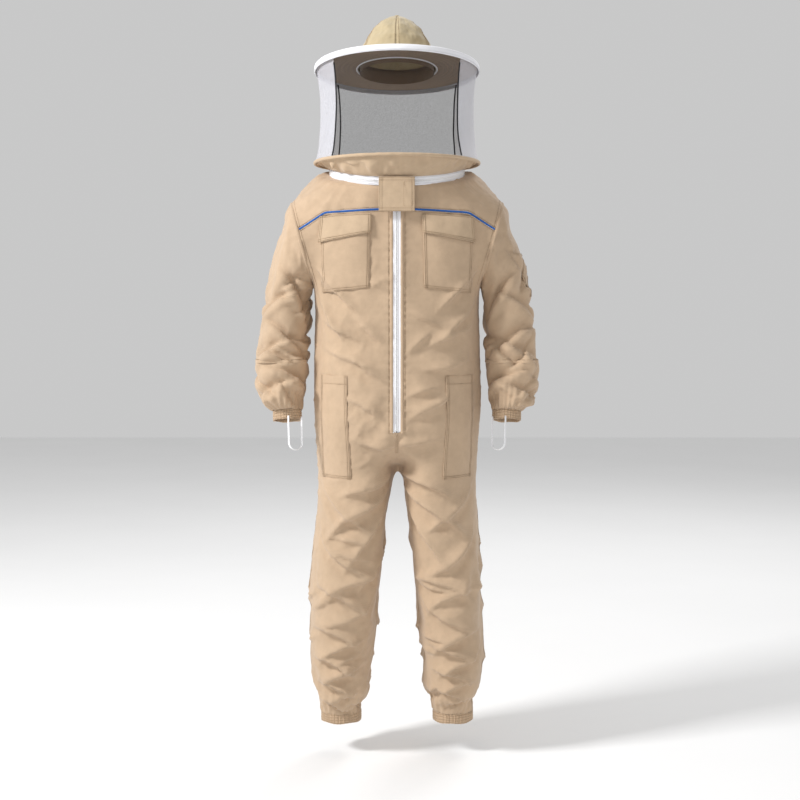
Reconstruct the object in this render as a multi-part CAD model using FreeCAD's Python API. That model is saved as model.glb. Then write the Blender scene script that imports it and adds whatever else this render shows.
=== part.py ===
"""Beekeeping suit: a coverall with a round hat-and-veil hood that zips to its collar.

Millimetres, +Z up, the suit faces -Y, the wearer's left is +X.
The origin is the centre of the collar zip ring, where the suit hangs on the wearer's shoulders.
Cloth is drawn as closed shells of one even thickness around the space that the wearer fills.
"""
import FreeCAD
import Part

import math
import os

V = FreeCAD.Vector

# ---- driving dimensions -------------------------------------------------------------------
CLOTH = 2.0                 # drawn thickness of the twill, seams and lining included
BODY_GAP = 0.6              # clear gap between pieces that move against each other

RING_R = 165.0              # collar zip ring, outer radius of the cloth edge
RING_TILT = 14.3            # the ring is lower at the throat than at the nape, degrees
RING_Y = 1.9                # puts the ring's throat point on the plane of the front zip
FRONT_Y = -158.0            # plane of the chest at the centre front

ARMHOLE_TOP = (262.0, -80.0)      # x, z of the armhole seam at the shoulder
ARMHOLE_BOTTOM = (205.0, -285.0)  # and under the arm
CROTCH_Z = -702.0
HIP_SIDE = (206.0, -364.0)        # x, z where the hip line meets the side seam
WAIST_Z = -420.0
THIGH_INNER = 40.0          # the thighs keep this far from the middle at the crotch
CROTCH_STRIP = 3.5          # half width of the crotch seam that stays with the torso
YOKE_Z = -113.0             # front yoke seam at the centre
YOKE_BREAK_X = 165.0        # the seam runs level to here, then falls to the armhole
YOKE_END = (250.0, -158.0)

ELBOW = (279.0, -3.0, -385.0)
ELBOW_HALF = 70.0           # half the length of the elbow's soft section
CUFF_START = (271.0, -49.0, -592.0)
CUFF_R_IN, CUFF_R_OUT, CUFF_LENGTH = 31.0, 36.0, 24.0

KNEE = (119.0, -4.0, -985.0)
KNEE_HALF = 95.0
ANKLE = (142.0, 12.0, -1358.0)
ANKLE_R_IN, ANKLE_R_OUT, ANKLE_LENGTH = 46.0, 52.0, 24.0

ZIP_SLOT_HALF = 10.0        # half the gap between the front panels
ZIP_TOP_Z, ZIP_BOTTOM_Z = -56.0, -637.0
TAPE_WIDTH, TAPE_THICK = 22.0, 1.0
COIL_GAP, COIL_WIDTH, COIL_THICK = 0.5, 2.7, 2.2
SLIDER_LENGTH, SLIDER_HALF_WIDTH = 15.0, 6.0

BRIM_R, BRIM_Z, BRIM_TILT = 197.5, 250.0, 5.4
HEAD_A, HEAD_B = 98.0, 108.0      # half width and half length of the hat's head opening
HOOP_R, HOOP_Z = 203.0, 18.0
NET_HALF_ANGLE = 50.0             # each black net spans this much either side of its centre
FLAP_HALF, FLAP_TOP_Z, FLAP_BOTTOM_Z = 43.0, -31.0, -112.0

POINTS = 20                 # points on each section curve
SHAPES = {}


# ---- small tools ---------------------------------------------------------------------------
def unit(x, y, z):
    v = V(x, y, z)
    v.normalize()
    return v


def ring_wire(centre, u, v, a, b, power=2.0):
    """Closed smooth curve: a superellipse of half axes a along u and b along v."""
    pts = []
    for k in range(POINTS):
        t = 2 * math.pi * (k + 0.5) / POINTS
        c, s = math.cos(t), math.sin(t)
        cu = math.copysign(abs(c) ** (2 / power), c) * a
        cv = math.copysign(abs(s) ** (2 / power), s) * b
        pts.append(centre + u * cu + v * cv)
    curve = Part.BSplineCurve()
    curve.interpolate(pts, PeriodicFlag=True)
    return Part.Wire([curve.toShape()])


def loft(wires, smooth=False):
    """Solid through the section curves; straight between them unless smooth is asked for."""
    return Part.makeLoft(wires, True, not smooth)


def half_space(point, normal, size=3000.0):
    """A big block that fills the side of the plane that the normal points to."""
    block = Part.makeBox(size, size, size, V(-size / 2, -size / 2, 0))
    block.Placement = FreeCAD.Placement(point, FreeCAD.Rotation(V(0, 0, 1), normal))
    return block


def prism_xz(corners, y0, y1):
    """A polygon drawn in x, z and pushed from y0 to y1."""
    pts = [V(x, y0, z) for x, z in corners]
    return Part.Face(Part.makePolygon(pts + [pts[0]])).extrude(V(0, y1 - y0, 0))


def box(x0, x1, y0, y1, z0, z1):
    return Part.makeBox(x1 - x0, y1 - y0, z1 - z0, V(x0, y0, z0))


def mirrored(shape):
    return shape.mirror(V(0, 0, 0), V(1, 0, 0))


def band(base, axis, r_in, r_out, length):
    """A plain round band standing on base along axis."""
    outer = Part.makeCylinder(r_out, length, base, axis)
    return outer.cut(Part.makeCylinder(r_in, length + 2, base - axis, axis))


def save(name, shape):
    solids = [s for s in shape.Solids if s.Volume > 20.0]
    SHAPES[name] = Part.Compound(solids) if len(solids) > 1 else solids[0]


def save_pair(stem, left):
    """The left piece and its mirror image on the right."""
    save(stem + "_left", left)
    save(stem + "_right", mirrored(left))


# ---- reference planes and axes -------------------------------------------------------------
TILT = math.radians(RING_TILT)
RING_N = V(0, -math.sin(TILT), math.cos(TILT))      # up and a little towards the throat
RING_U = V(1, 0, 0)
RING_V = V(0, math.cos(TILT), math.sin(TILT))       # towards the nape
RING_C = V(0, RING_Y, 0)

top_x, top_z = ARMHOLE_TOP
low_x, low_z = ARMHOLE_BOTTOM
ARM_R = math.hypot(top_x - low_x, top_z - low_z) / 2
ARM_C = V((top_x + low_x) / 2, 0, (top_z + low_z) / 2)
ARM_N = unit(top_z - low_z, 0, -(top_x - low_x))    # outward and a little down

HIP_N = unit(HIP_SIDE[1] - CROTCH_Z, 0, -HIP_SIDE[0])
HIP_C = V(HIP_SIDE[0] / 2, 0, (HIP_SIDE[1] + CROTCH_Z) / 2)
CUFF_DIR = unit(*[c - e for c, e in zip(CUFF_START, ELBOW)])


# ---- the coverall's outer form -------------------------------------------------------------
def neck_ring(height, grow):
    return ring_wire(RING_C + RING_N * height, RING_U, RING_V, RING_R + grow, RING_R + grow)


def trunk_ring(z, tilt, a, back, power, grow, front=FRONT_Y):
    """A section of the trunk. Its front stays on the zip's plane, its back on y = back."""
    t = math.radians(tilt)
    half = (back - front) / 2 / math.cos(t)
    centre = V(0, (back + front) / 2, z)
    v = V(0, math.cos(t), math.sin(t))
    return ring_wire(centre, V(1, 0, 0), v, a + grow, half + grow, power)


def trunk(grow):
    """From above the collar ring down to the crotch."""
    rings = [
        neck_ring(22.0, grow),
        neck_ring(0.0, grow),
        trunk_ring(-16.0, 15.5, 206.0, 156.0, 2.15, grow),
        trunk_ring(-44.0, 12.0, 237.0, 152.0, 2.3, grow),
        trunk_ring(-92.0, 6.0, 256.0, 148.0, 2.4, grow),
        trunk_ring(-182.0, 0.0, 243.0, 142.0, 2.5, grow),
        trunk_ring(-290.0, 0.0, 200.0, 136.0, 2.5, grow),
        trunk_ring(WAIST_Z, 0.0, 198.0, 124.0, 2.5, grow),
        trunk_ring(-540.0, 0.0, 204.0, 140.0, 2.5, grow),
        trunk_ring(-640.0, 0.0, 200.0, 148.0, 2.4, grow),
        trunk_ring(CROTCH_Z - grow, 0.0, 176.0, 128.0, 2.2, grow, -134.0),
    ]
    return loft(rings)


def shoulder_lobe(grow):
    """Rounds the trunk out to the armhole circle and runs on a little past the seam plane."""
    y = V(0, 1, 0)
    up = y.cross(ARM_N)
    rings = []
    for along, r in ((-95.0, 118.0), (-50.0, 113.0), (0.0, ARM_R), (20.0, ARM_R)):
        rings.append(ring_wire(ARM_C + ARM_N * along, y, up, r + grow, r + grow))
    return loft(rings)


LEG_RINGS = (  # z, centre x, centre y, half width, half depth
    (-560.0, 102.0, -6.0, 92.0, 128.0),
    (-640.0, 103.0, -5.0, 97.0, 138.0),
    (-702.0, 102.0, -3.0, 95.0, 132.0),
    (-790.0, 102.0, -1.0, 90.0, 126.0),
    (-870.0, 108.0, -1.0, 88.0, 118.0),
    (-890.0, 110.0, -1.5, 88.5, 116.3),
    (-985.0, 119.0, -4.0, 91.0, 108.0),
    (-1080.0, 123.2, -1.2, 86.8, 103.8),
    (-1120.0, 125.0, 0.0, 85.0, 102.0),
    (-1220.0, 134.0, 6.0, 76.0, 92.0),
    (-1290.0, 134.0, 10.0, 69.0, 82.0),
    (-1335.0, 140.0, 12.0, 58.0, 64.0),
    (-1358.0, 142.0, 12.0, 51.0, 51.0),
)


def leg_rings(grow, top=0.0, low=-2000.0):
    return [ring_wire(V(x, y, z), V(1, 0, 0), V(0, 1, 0), a + grow, b + grow)
            for z, x, y, a, b in LEG_RINGS if low <= z <= top]


def leg(grow):
    rings = leg_rings(grow)
    z, x, y, a, b = LEG_RINGS[-1]
    rings.append(ring_wire(V(x, y, z - 20.0), V(1, 0, 0), V(0, 1, 0), a + grow, b + grow))
    return loft(rings)


def coverall(grow):
    """The whole coverall without sleeves, as one solid grown by grow on every side."""
    whole = trunk(grow)
    for shape in (shoulder_lobe(grow), leg(grow)):
        whole = whole.fuse(shape)
        whole = whole.fuse(mirrored(shape))
    return whole


def make_coverall_panels():
    shell = coverall(0.0).cut(coverall(-CLOTH))
    shell = shell.cut(half_space(RING_C - RING_N * 7.0, RING_N))
    armhole = half_space(ARM_C - ARM_N * BODY_GAP / 2, ARM_N)
    shell = shell.cut(box(-600, 600, -400, 400, -320, 60).common(armhole))
    shell = shell.cut(box(-600, 600, -400, 400, -320, 60).common(mirrored(armhole)))

    thigh_side = half_space(HIP_C + HIP_N * BODY_GAP / 2, HIP_N)
    torso_side = half_space(HIP_C - HIP_N * BODY_GAP / 2, HIP_N)
    # the cloth beside the crotch seam is left free, so that the legs can swing past each other
    top = HIP_SIDE[1] + 40
    legs = box(0.0, 600, -400, 400, -2000, CROTCH_Z - 2)
    thigh = shell.common(legs.fuse(box(THIGH_INNER, 600, -400, 400, CROTCH_Z - 2, top)))
    thigh = thigh.common(thigh_side)
    low = legs.fuse(box(CROTCH_STRIP, 600, -400, 400, CROTCH_Z - 2, top)).common(torso_side)
    torso = shell.cut(low).cut(mirrored(low))
    make_torso(torso)
    make_leg(thigh)


def yoke_outline(y0, y1):
    """Everything above the yoke seam."""
    bx, (ex, ez) = YOKE_BREAK_X, YOKE_END
    seam = [(-600, ez), (-ex, ez), (-bx, YOKE_Z), (bx, YOKE_Z), (ex, ez), (600, ez)]
    return prism_xz(seam + [(600, 200), (-600, 200)], y0, y1)


def make_torso(torso):
    side_y = -6.0
    front = torso.common(box(-600, 600, -400, side_y, -900, 200))
    back = torso.common(box(-600, 600, side_y, 400, -900, 200))
    slot = box(-ZIP_SLOT_HALF, ZIP_SLOT_HALF, -400, 0, ZIP_BOTTOM_Z, 200)
    front = front.cut(slot)
    yokes = yoke_outline(-400, side_y)
    left = box(0, 600, -400, 400, -900, 200)
    for node, region in (("left", left), ("right", mirrored(left))):
        half = front.common(region)
        save("front_panel_" + node, half.cut(yokes))
        save("front_yoke_" + node, half.common(yokes))
    back_yokes = yoke_outline(side_y, 400)
    save("back_panel", back.cut(back_yokes))
    save("back_yoke", back.common(back_yokes))
    make_piping(side_y)


def make_piping(side_y):
    """Blue cord piping that stands on the yoke seam, front and back, up to the armholes."""
    bead = 2.2
    rind = trunk_and_lobes(1.6).cut(trunk_and_lobes(0.0))
    rind = rind.cut(half_space(ARM_C - ARM_N * 4.0, ARM_N))
    rind = rind.cut(mirrored(half_space(ARM_C - ARM_N * 4.0, ARM_N)))
    bx, (ex, ez) = YOKE_BREAK_X, YOKE_END
    line = [(-ex, ez), (-bx, YOKE_Z), (bx, YOKE_Z), (ex, ez)]
    outline = [(x, z + bead) for x, z in line] + [(x, z - bead) for x, z in reversed(line)]
    strip = prism_xz(outline, -400, side_y - 1).cut(
        box(-ZIP_SLOT_HALF - 2, ZIP_SLOT_HALF + 2, -400, 0, -300, 0))
    strip = strip.fuse(prism_xz(outline, side_y + 1, 400))
    save("yoke_piping", rind.common(strip))


def trunk_and_lobes(grow):
    lobe = shoulder_lobe(grow)
    return trunk(grow).fuse(lobe).fuse(mirrored(lobe))


def make_leg(thigh):
    """Thigh, soft knee section, shin and the elasticated ankle hem."""
    knee_top, knee_low = KNEE[2] + KNEE_HALF, KNEE[2] - KNEE_HALF
    # front and back halves meet at the side seam and inseam
    halves = [thigh.common(box(-600, 600, y0, y1, knee_top, 0)) for y0, y1 in ((-400, 0), (0, 400))]
    save_pair("leg_thigh", halves[0].fuse(halves[1]))
    for node, top, low in (("leg_knee", knee_top, knee_low), ("leg_shin", knee_low, ANKLE[2])):
        outer, inner = (loft(leg_rings(grow, top, low)) for grow in (0.0, -CLOTH))
        save_pair(node, outer.cut(inner))
    save_pair("ankle_hem", band(V(*ANKLE) - V(0, 0, ANKLE_LENGTH), V(0, 0, 1),
                                ANKLE_R_IN, ANKLE_R_OUT, ANKLE_LENGTH))


# ---- sleeves -------------------------------------------------------------------------------
SLEEVE_RINGS = (  # outer x, outer z, inner x, inner z, centre y, half depth
    (297.0, -160.0, 208.5, -291.0, 0.0, 97.0),
    (322.0, -250.0, 211.5, -303.0, 0.0, 84.0),
    (334.0, -315.0, 212.0, -315.0, -1.0, 80.0),
    (343.0, -378.0, 213.0, -378.0, -3.0, 76.0),
    (351.5, -455.0, 216.0, -455.0, -17.0, 73.0),
    (352.0, -495.0, 218.5, -500.0, -25.5, 69.5),
    (347.0, -540.0, 224.0, -545.0, -36.0, 63.0),
    (329.0, -573.0, 232.0, -578.0, -44.0, 49.0),
)


def sleeve_rings(grow, first=0.0, last=15.0):
    """Rings from the armhole circle to the start of the cuff."""
    y = V(0, 1, 0)
    up = y.cross(ARM_N)
    rings = [ring_wire(ARM_C + ARM_N * first, y, up, ARM_R + grow, ARM_R + grow)]
    for ox, oz, ix, iz, cy, depth in SLEEVE_RINGS:
        centre = V((ox + ix) / 2, cy, (oz + iz) / 2)
        across = V(ix - ox, 0, iz - oz)
        half = across.Length / 2
        across.normalize()
        rings.append(ring_wire(centre, y, across, depth + grow, half + grow))
    side = y.cross(CUFF_DIR)
    side.normalize()
    v = CUFF_DIR.cross(side)
    r = CUFF_R_OUT - 0.5 + grow
    rings.append(ring_wire(V(*CUFF_START) + CUFF_DIR * last, v, side, r, r))
    return rings


def sleeve(grow):
    return loft(sleeve_rings(grow))


def make_sleeves():
    top, low = (1 + [r[1] for r in SLEEVE_RINGS].index(ELBOW[2] + half)
                for half in (ELBOW_HALF, -ELBOW_HALF))
    for node, first, last in (("sleeve_upper", 0, top), ("sleeve_elbow", top, low),
                              ("sleeve_forearm", low, None)):
        outer, inner = (loft(sleeve_rings(grow, BODY_GAP / 2, 0.0)[first:last and last + 1])
                        for grow in (0.0, -CLOTH))
        save_pair(node, outer.cut(inner))
    save_pair("cuff", band(V(*CUFF_START), CUFF_DIR, CUFF_R_IN, CUFF_R_OUT, CUFF_LENGTH))
    pen = sleeve(2.0).cut(sleeve(0.3))
    save("pen_pocket", pen.common(box(300, 600, -44, 18, ELBOW[2] + ELBOW_HALF + 2, -200)))
    make_thumb_loops()


def make_thumb_loops():
    """White elastic loop that hangs from the thumb side of each cuff."""
    width, drop, wide, thick = 38.0, 78.0, 8.0, 1.4
    radial = unit(-0.55, -0.82, 0)
    radial = radial - CUFF_DIR * radial.dot(CUFF_DIR)
    radial.normalize()
    tangent = CUFF_DIR.cross(radial)
    top = V(*CUFF_START) + CUFF_DIR * (CUFF_LENGTH + BODY_GAP) + radial * (CUFF_R_IN + 1.2)
    r_out, r_in = width / 2, width / 2 - thick
    straight = drop - r_out

    def u_face(r):
        a, b = top - tangent * r, top + tangent * r
        low_a, low_b = a + CUFF_DIR * straight, b + CUFF_DIR * straight
        bottom = top + CUFF_DIR * (straight + r)
        edges = [Part.makeLine(b, a), Part.makeLine(a, low_a),
                 Part.Arc(low_a, bottom, low_b).toShape(), Part.makeLine(low_b, b)]
        return Part.Face(Part.Wire(edges))

    loop = u_face(r_out).extrude(radial * wide).cut(
        u_face(r_in).extrude(radial * (wide + 2)).translated(radial * -1))
    save_pair("thumb_loop", loop)


# ---- pockets, flaps and small fittings ------------------------------------------------------
def rind(inner, outer):
    """A skin that lies between two growths of the trunk."""
    return trunk(outer).cut(trunk(inner))


def make_chest_pockets():
    top, low, inner_x, outer_x = -122.0, -298.0, 64.0, 184.0
    pocket = prism_xz([(inner_x, top), (inner_x, low + 6), (inner_x + 14, low - 2),
                       (outer_x - 6, low - 2), (outer_x - 10, top)], -400, -10)
    save_pair("chest_pocket", rind(0.3, CLOTH).common(pocket))
    flap = prism_xz([(inner_x - 3, top + 4), (inner_x - 3, top - 40), (inner_x + 12, top - 48),
                     (outer_x - 4, top - 58), (outer_x, top + 4)], -400, -10)
    save_pair("chest_flap", rind(CLOTH + 0.9, 2 * CLOTH + 0.7).common(flap))


def make_hip_pockets():
    """Long patch pockets on the side of each thigh."""
    front_x, top, low = 126.0, -497.0, -756.0
    outer = trunk(CLOTH).fuse(leg(CLOTH))
    skin = outer.cut(trunk(0.3).fuse(leg(0.3)))
    region = prism_xz([(front_x, top - 2), (300, top - 2), (300, low), (front_x - 3, low)], -400, 66)
    region = region.common(half_space(HIP_C + HIP_N * (BODY_GAP / 2), HIP_N))
    save_pair("hip_pocket", skin.common(region))


def make_waist_elastic():
    band_half = 19.0
    inside = rind(-CLOTH - 1.9, -CLOTH - 0.3)
    region = box(-150, 150, 15, 400, WAIST_Z - band_half, WAIST_Z + band_half)
    save("waist_elastic", inside.common(region))


def make_throat_flap():
    """Square tab over the meeting of the two zips; it opens about its sewn right-hand edge."""
    face_y = FRONT_Y - 13.0
    fold = V(-FLAP_HALF + 1.0, face_y + 1.0, FLAP_BOTTOM_Z)
    plate = box(fold.x, FLAP_HALF, face_y, face_y + CLOTH, FLAP_BOTTOM_Z, FLAP_TOP_Z)
    bead = Part.makeCylinder(1.0, FLAP_TOP_Z - FLAP_BOTTOM_Z, fold)
    save("throat_flap", plate.fuse(bead))
    base = box(fold.x - 1.5, fold.x + 1.5, fold.y + 1.5, FRONT_Y + 0.5, YOKE_Z + 3.5, FLAP_TOP_Z - 22)
    SHAPES["front_yoke_right"] = SHAPES["front_yoke_right"].fuse(base)
    hook = box(24, 40, face_y + CLOTH, face_y + CLOTH + 1.6, FLAP_BOTTOM_Z + 6, FLAP_TOP_Z - 6)
    save("throat_hook_tape", hook)
    loop = rind(0.0, 1.6).common(box(24, 40, -400, 0, FLAP_BOTTOM_Z + 8, -60))
    save("throat_loop_tape", loop)


# ---- the two zips --------------------------------------------------------------------------
def make_front_zip():
    back_y = FRONT_Y + CLOTH + 0.3
    for node, sign in (("left", 1), ("right", -1)):
        near, far = sorted((sign * 1.2, sign * TAPE_WIDTH))
        save("front_zip_tape_" + node,
             box(near, far, back_y, back_y + TAPE_THICK, ZIP_BOTTOM_Z - 3, ZIP_TOP_Z))
        near, far = sorted((sign * COIL_GAP, sign * (COIL_GAP + COIL_WIDTH)))
        save("front_zip_coil_" + node,
             box(near, far, back_y - COIL_THICK, back_y, ZIP_BOTTOM_Z + 4, ZIP_TOP_Z - 3))


def slider_body(width):
    """Slider about its own centre: z along the chain, y through it, outer face at y < 0."""
    half, gap = SLIDER_LENGTH / 2, 0.5
    plate_y = COIL_THICK + gap
    outer = box(-width, width, -plate_y - 1.6, -plate_y, -half, half)
    inner_y = TAPE_THICK + gap
    inner = box(-width, width, inner_y, inner_y + 1.2, -half, half)
    bridge = box(-0.25, 0.25, -plate_y - 0.8, inner_y + 0.6, half - 5.0, half)
    lug = box(-1.6, 1.6, -plate_y - 4.4, -plate_y - 1.0, -3.0, 4.0)
    eye = Part.makeCylinder(1.05, 10, V(-5, -plate_y - 3.0, 1.6), V(1, 0, 0))
    return outer.fuse(inner).fuse(bridge).fuse(lug).cut(eye)


def pull_tab():
    """Pull tab that hangs from the slider's eye, drawn about the eye's axis."""
    pin = Part.makeCylinder(0.9, 7.0, V(-3.5, 0, 0), V(1, 0, 0))
    arms = box(-3.5, -2.1, -0.9, 0.9, -9.0, 0.9).fuse(box(2.1, 3.5, -0.9, 0.9, -9.0, 0.9))
    plate = box(-4.0, 4.0, -0.9, 0.9, -30.0, -8.0)
    return pin.fuse(arms).fuse(plate).cut(box(-2.0, 2.0, -2, 2, -26.0, -18.0))


PULL_Y = -(COIL_THICK + 0.5) - 3.0     # the eye's axis, from the tape's front face
FRONT_SLIDER_Z = ZIP_TOP_Z - 14.0


def place(shape, origin, rotation=None):
    moved = shape.copy()
    moved.Placement = FreeCAD.Placement(origin, rotation or FreeCAD.Rotation())
    return moved


def make_sliders():
    back_y = FRONT_Y + CLOTH + 0.3
    front_at = V(0, back_y, FRONT_SLIDER_Z)
    save("front_zip_slider", place(slider_body(SLIDER_HALF_WIDTH), front_at))
    save("front_zip_pull", place(pull_tab(), front_at + V(0, PULL_Y, 1.6)))


def ring_band(r_in, r_out, low, high):
    """A round band about the collar ring's axis, between two heights on that axis."""
    base = RING_C + RING_N * low
    outer = Part.makeCylinder(r_out, high - low, base, RING_N)
    return outer.cut(Part.makeCylinder(r_in, high - low + 2, base - RING_N, RING_N))


COLLAR_TAPE_R = RING_R - CLOTH - 0.4   # outer face of both collar tapes
COLLAR_START = 9.0                     # the slider's parking place, degrees from the throat


def ring_point(angle, radius, height=0.0):
    a = math.radians(angle)
    flat = RING_U * (math.sin(a) * radius) - RING_V * (math.cos(a) * radius)
    return RING_C + flat + RING_N * height


def make_collar_zip():
    throat_gap = prism_xz([(-1.5, 60), (1.5, 60), (1.5, -90), (-1.5, -90)], -400, 0)
    r = COLLAR_TAPE_R
    for node, sign in (("lower", -1), ("upper", 1)):
        low, high = (-6.7, -1.0) if sign < 0 else (1.0, 12.0)
        save(f"collar_zip_{node}_tape", ring_band(r - TAPE_THICK, r, low, high).cut(throat_gap))
        low, high = sorted((sign * COIL_GAP, sign * (COIL_GAP + COIL_WIDTH)))
        save(f"collar_zip_{node}_coil", ring_band(r, r + COIL_THICK, low, high).cut(throat_gap))
    make_collar_slider()


def make_collar_slider():
    """Its plates follow the ring, so it can run the whole way round."""
    r, gap, half = COLLAR_TAPE_R, 0.5, SLIDER_LENGTH / 2
    plate = r + COIL_THICK + gap
    sector = math.degrees(half / r)
    wedge = [RING_C + RING_N * -30]
    for a in (COLLAR_START - sector, COLLAR_START + sector):
        wedge.append(ring_point(a, 260.0, -30))
    sector_block = Part.Face(Part.makePolygon(wedge + [wedge[0]])).extrude(RING_N * 60)
    tall = SLIDER_HALF_WIDTH
    outer = ring_band(plate, plate + 1.6, -tall, tall)
    inner = ring_band(r - TAPE_THICK - gap - 1.2, r - TAPE_THICK - gap, -tall, tall)
    bridge = ring_band(r - TAPE_THICK - gap - 0.6, plate + 0.8, -0.25, 0.25)
    body = outer.fuse(inner).fuse(bridge).common(sector_block)
    frame = collar_slider_rotation()
    eye_at = ring_point(COLLAR_START, plate + 3.0)
    lug = place(box(-1.6, 1.6, -1.4, 2.4, -3.0, 3.0), eye_at, frame)
    eye = place(Part.makeCylinder(1.05, 10, V(-5, 0, 0), V(1, 0, 0)), eye_at, frame)
    save("collar_zip_slider", body.fuse(lug).cut(eye))
    save("collar_zip_pull", place(pull_tab(), eye_at, frame))


def collar_slider_rotation():
    """Turns the slider's own axes to the ring at its parking place."""
    outward = ring_point(COLLAR_START, 1.0) - RING_C
    along = RING_N.cross(outward)
    return FreeCAD.Rotation(RING_N * -1, outward * -1, along, "XYZ")


# ---- hood ----------------------------------------------------------------------------------
BRIM_A = math.radians(BRIM_TILT)
BRIM_C = V(0, 0, BRIM_Z)
BRIM_N = V(0, math.sin(BRIM_A), math.cos(BRIM_A))      # leans back, so the brim is higher in front
BRIM_V = V(0, math.cos(BRIM_A), -math.sin(BRIM_A))


def brim_wire(a, b, height, power=2.0, shift=0.0):
    return ring_wire(BRIM_C + BRIM_N * height + BRIM_V * shift, V(1, 0, 0), BRIM_V, a, b, power)


CROWN_RINGS = (  # height over the brim, half width, half length
    (0.0, HEAD_A, HEAD_B),
    (28.0, 94.0, 104.0),
    (60.0, 83.0, 93.0),
    (88.0, 66.0, 75.0),
    (110.0, 44.0, 50.0),
    (124.0, 20.0, 23.0),
)


def crown(grow):
    rings = [brim_wire(a + grow, b + grow, h) for h, a, b in CROWN_RINGS]
    top = CROWN_RINGS[-1][0] + 6.0 + grow
    rings.append(brim_wire(5.0, 5.0, top))
    return loft(rings, smooth=True)


def make_hat():
    inside = loft([brim_wire(a - CLOTH, b - CLOTH, h - 8 if h == 0 else h - CLOTH)
                   for h, a, b in CROWN_RINGS], smooth=True)
    save("hat_crown", crown(0.0).cut(inside))
    brim = Part.makeCylinder(BRIM_R, 3.0, BRIM_C - BRIM_N * 3.0, BRIM_N)
    opening = loft([brim_wire(HEAD_A - CLOTH, HEAD_B - CLOTH, -8.0),
                    brim_wire(HEAD_A - CLOTH, HEAD_B - CLOTH, 4.0)])
    save("hat_brim", brim.cut(opening))
    band_low, band_high, wall = -12.0, 24.0, 1.6
    outer = loft([brim_wire(HEAD_A - 2.4 - k, HEAD_B - 2.4 - k, h)
                  for h, k in ((band_low, 0.0), (band_high, 3.6))])
    inner = loft([brim_wire(HEAD_A - 2.4 - wall - k, HEAD_B - 2.4 - wall - k, h)
                  for h, k in ((band_low - 1, 0.0), (band_high + 1, 3.6))])
    save("sweatband", outer.cut(inner))
    wire_c = BRIM_C - BRIM_N * 1.5
    save("brim_hoop_wire", Part.makeTorus(BRIM_R + 2.2, 1.6, wire_c, BRIM_N))
    outer = Part.makeCylinder(BRIM_R + 5.4, 13.0, wire_c - BRIM_N * 10.5, BRIM_N)
    inner = Part.makeCylinder(BRIM_R + 4.2, 15.0, wire_c - BRIM_N * 11.5, BRIM_N)
    save("brim_binding", outer.cut(inner))


def veil_wall(r_top, r_low, wall):
    """Open-ended cloth wall from under the brim's edge to the lower hoop, nipped in midway."""
    def rings(grow):
        out = [brim_wire(r_top + grow, r_top + grow, -3.5)]
        for share, nip in ((0.3, 7.0), (0.65, 8.0)):
            z = BRIM_Z + (HOOP_Z + 4.0 - BRIM_Z) * share
            tilt = BRIM_A * (1 - share)
            v = V(0, math.cos(tilt), -math.sin(tilt))
            r = r_top + (r_low - r_top) * share - nip + grow
            out.append(ring_wire(V(0, 0, z), V(1, 0, 0), v, r, r))
        out.append(ring_wire(V(0, 0, HOOP_Z + 4.0), V(1, 0, 0), V(0, 1, 0), r_low + grow, r_low + grow))
        return out
    return loft(rings(0.0), smooth=True).cut(loft(rings(-wall), smooth=True))


def sector(from_deg, to_deg, z0, z1):
    """A wedge about the Z axis; angles are measured from the throat towards the wearer's left."""
    reach = 900.0
    mid = (from_deg + to_deg) / 2
    pts = [V(0, 0, z0)]
    for a in (from_deg, mid, to_deg):
        t = math.radians(a)
        pts.append(V(math.sin(t) * reach, -math.cos(t) * reach, z0))
    return Part.Face(Part.makePolygon(pts + [pts[0]])).extrude(V(0, 0, z1 - z0))


def make_veil():
    net = veil_wall(BRIM_R + 1.0, HOOP_R - 1.5, 1.2)
    a = NET_HALF_ANGLE
    save("front_net", net.common(sector(-a, a, -100, 500)))
    save("back_net", net.common(sector(180 - a, 180 + a, -100, 500)))
    save("veil_side_left", net.common(sector(a, 180 - a, -100, 500)))
    save("veil_side_right", net.common(sector(180 + a, 360 - a, -100, 500)))
    centre = V(0, 0, HOOP_Z)
    save("lower_hoop_wire", Part.makeTorus(HOOP_R, 1.8, centre, V(0, 0, 1)))
    tube = Part.makeTorus(HOOP_R, 3.6, centre, V(0, 0, 1))
    save("hoop_binding", tube.cut(Part.makeTorus(HOOP_R, 2.0, centre, V(0, 0, 1))))
    make_skirt()


def make_skirt():
    """Gathered cloth from the lower hoop in to the upper half of the collar zip."""
    def rings(drop):
        down = V(0, 0, -drop)
        out = [ring_wire(RING_C + RING_N * h + RING_V * back + down, RING_U, RING_V, r, r)
               for h, back, r in ((10.5, 0.0, RING_R - 1.8), (15.0, 6.0, RING_R + 12.0))]
        r = HOOP_R - 4.2
        out.append(ring_wire(V(0, 0, HOOP_Z) + down, V(1, 0, 0), V(0, 1, 0), r, r))
        return out
    loop = rings(0.0) + rings(2.6)[::-1]
    save("veil_skirt", Part.makeLoft(loop, True, True, True))


def main():
    os.makedirs("parts", exist_ok=True)
    make_coverall_panels()
    make_sleeves()
    make_chest_pockets()
    make_hip_pockets()
    make_waist_elastic()
    make_throat_flap()
    make_front_zip()
    make_sliders()
    make_collar_zip()
    make_hat()
    make_veil()
    for name, shape in sorted(SHAPES.items()):
        shape.exportStep(f"parts/{name}.step")
    print(len(SHAPES), "nodes")


main()
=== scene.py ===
"""Beekeeping suit: the looks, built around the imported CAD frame. Metres, the suit faces -Y."""

import math

import bmesh
import bpy
import numpy as np
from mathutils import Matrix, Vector, kdtree, noise
from mathutils.bvhtree import BVHTree


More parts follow.
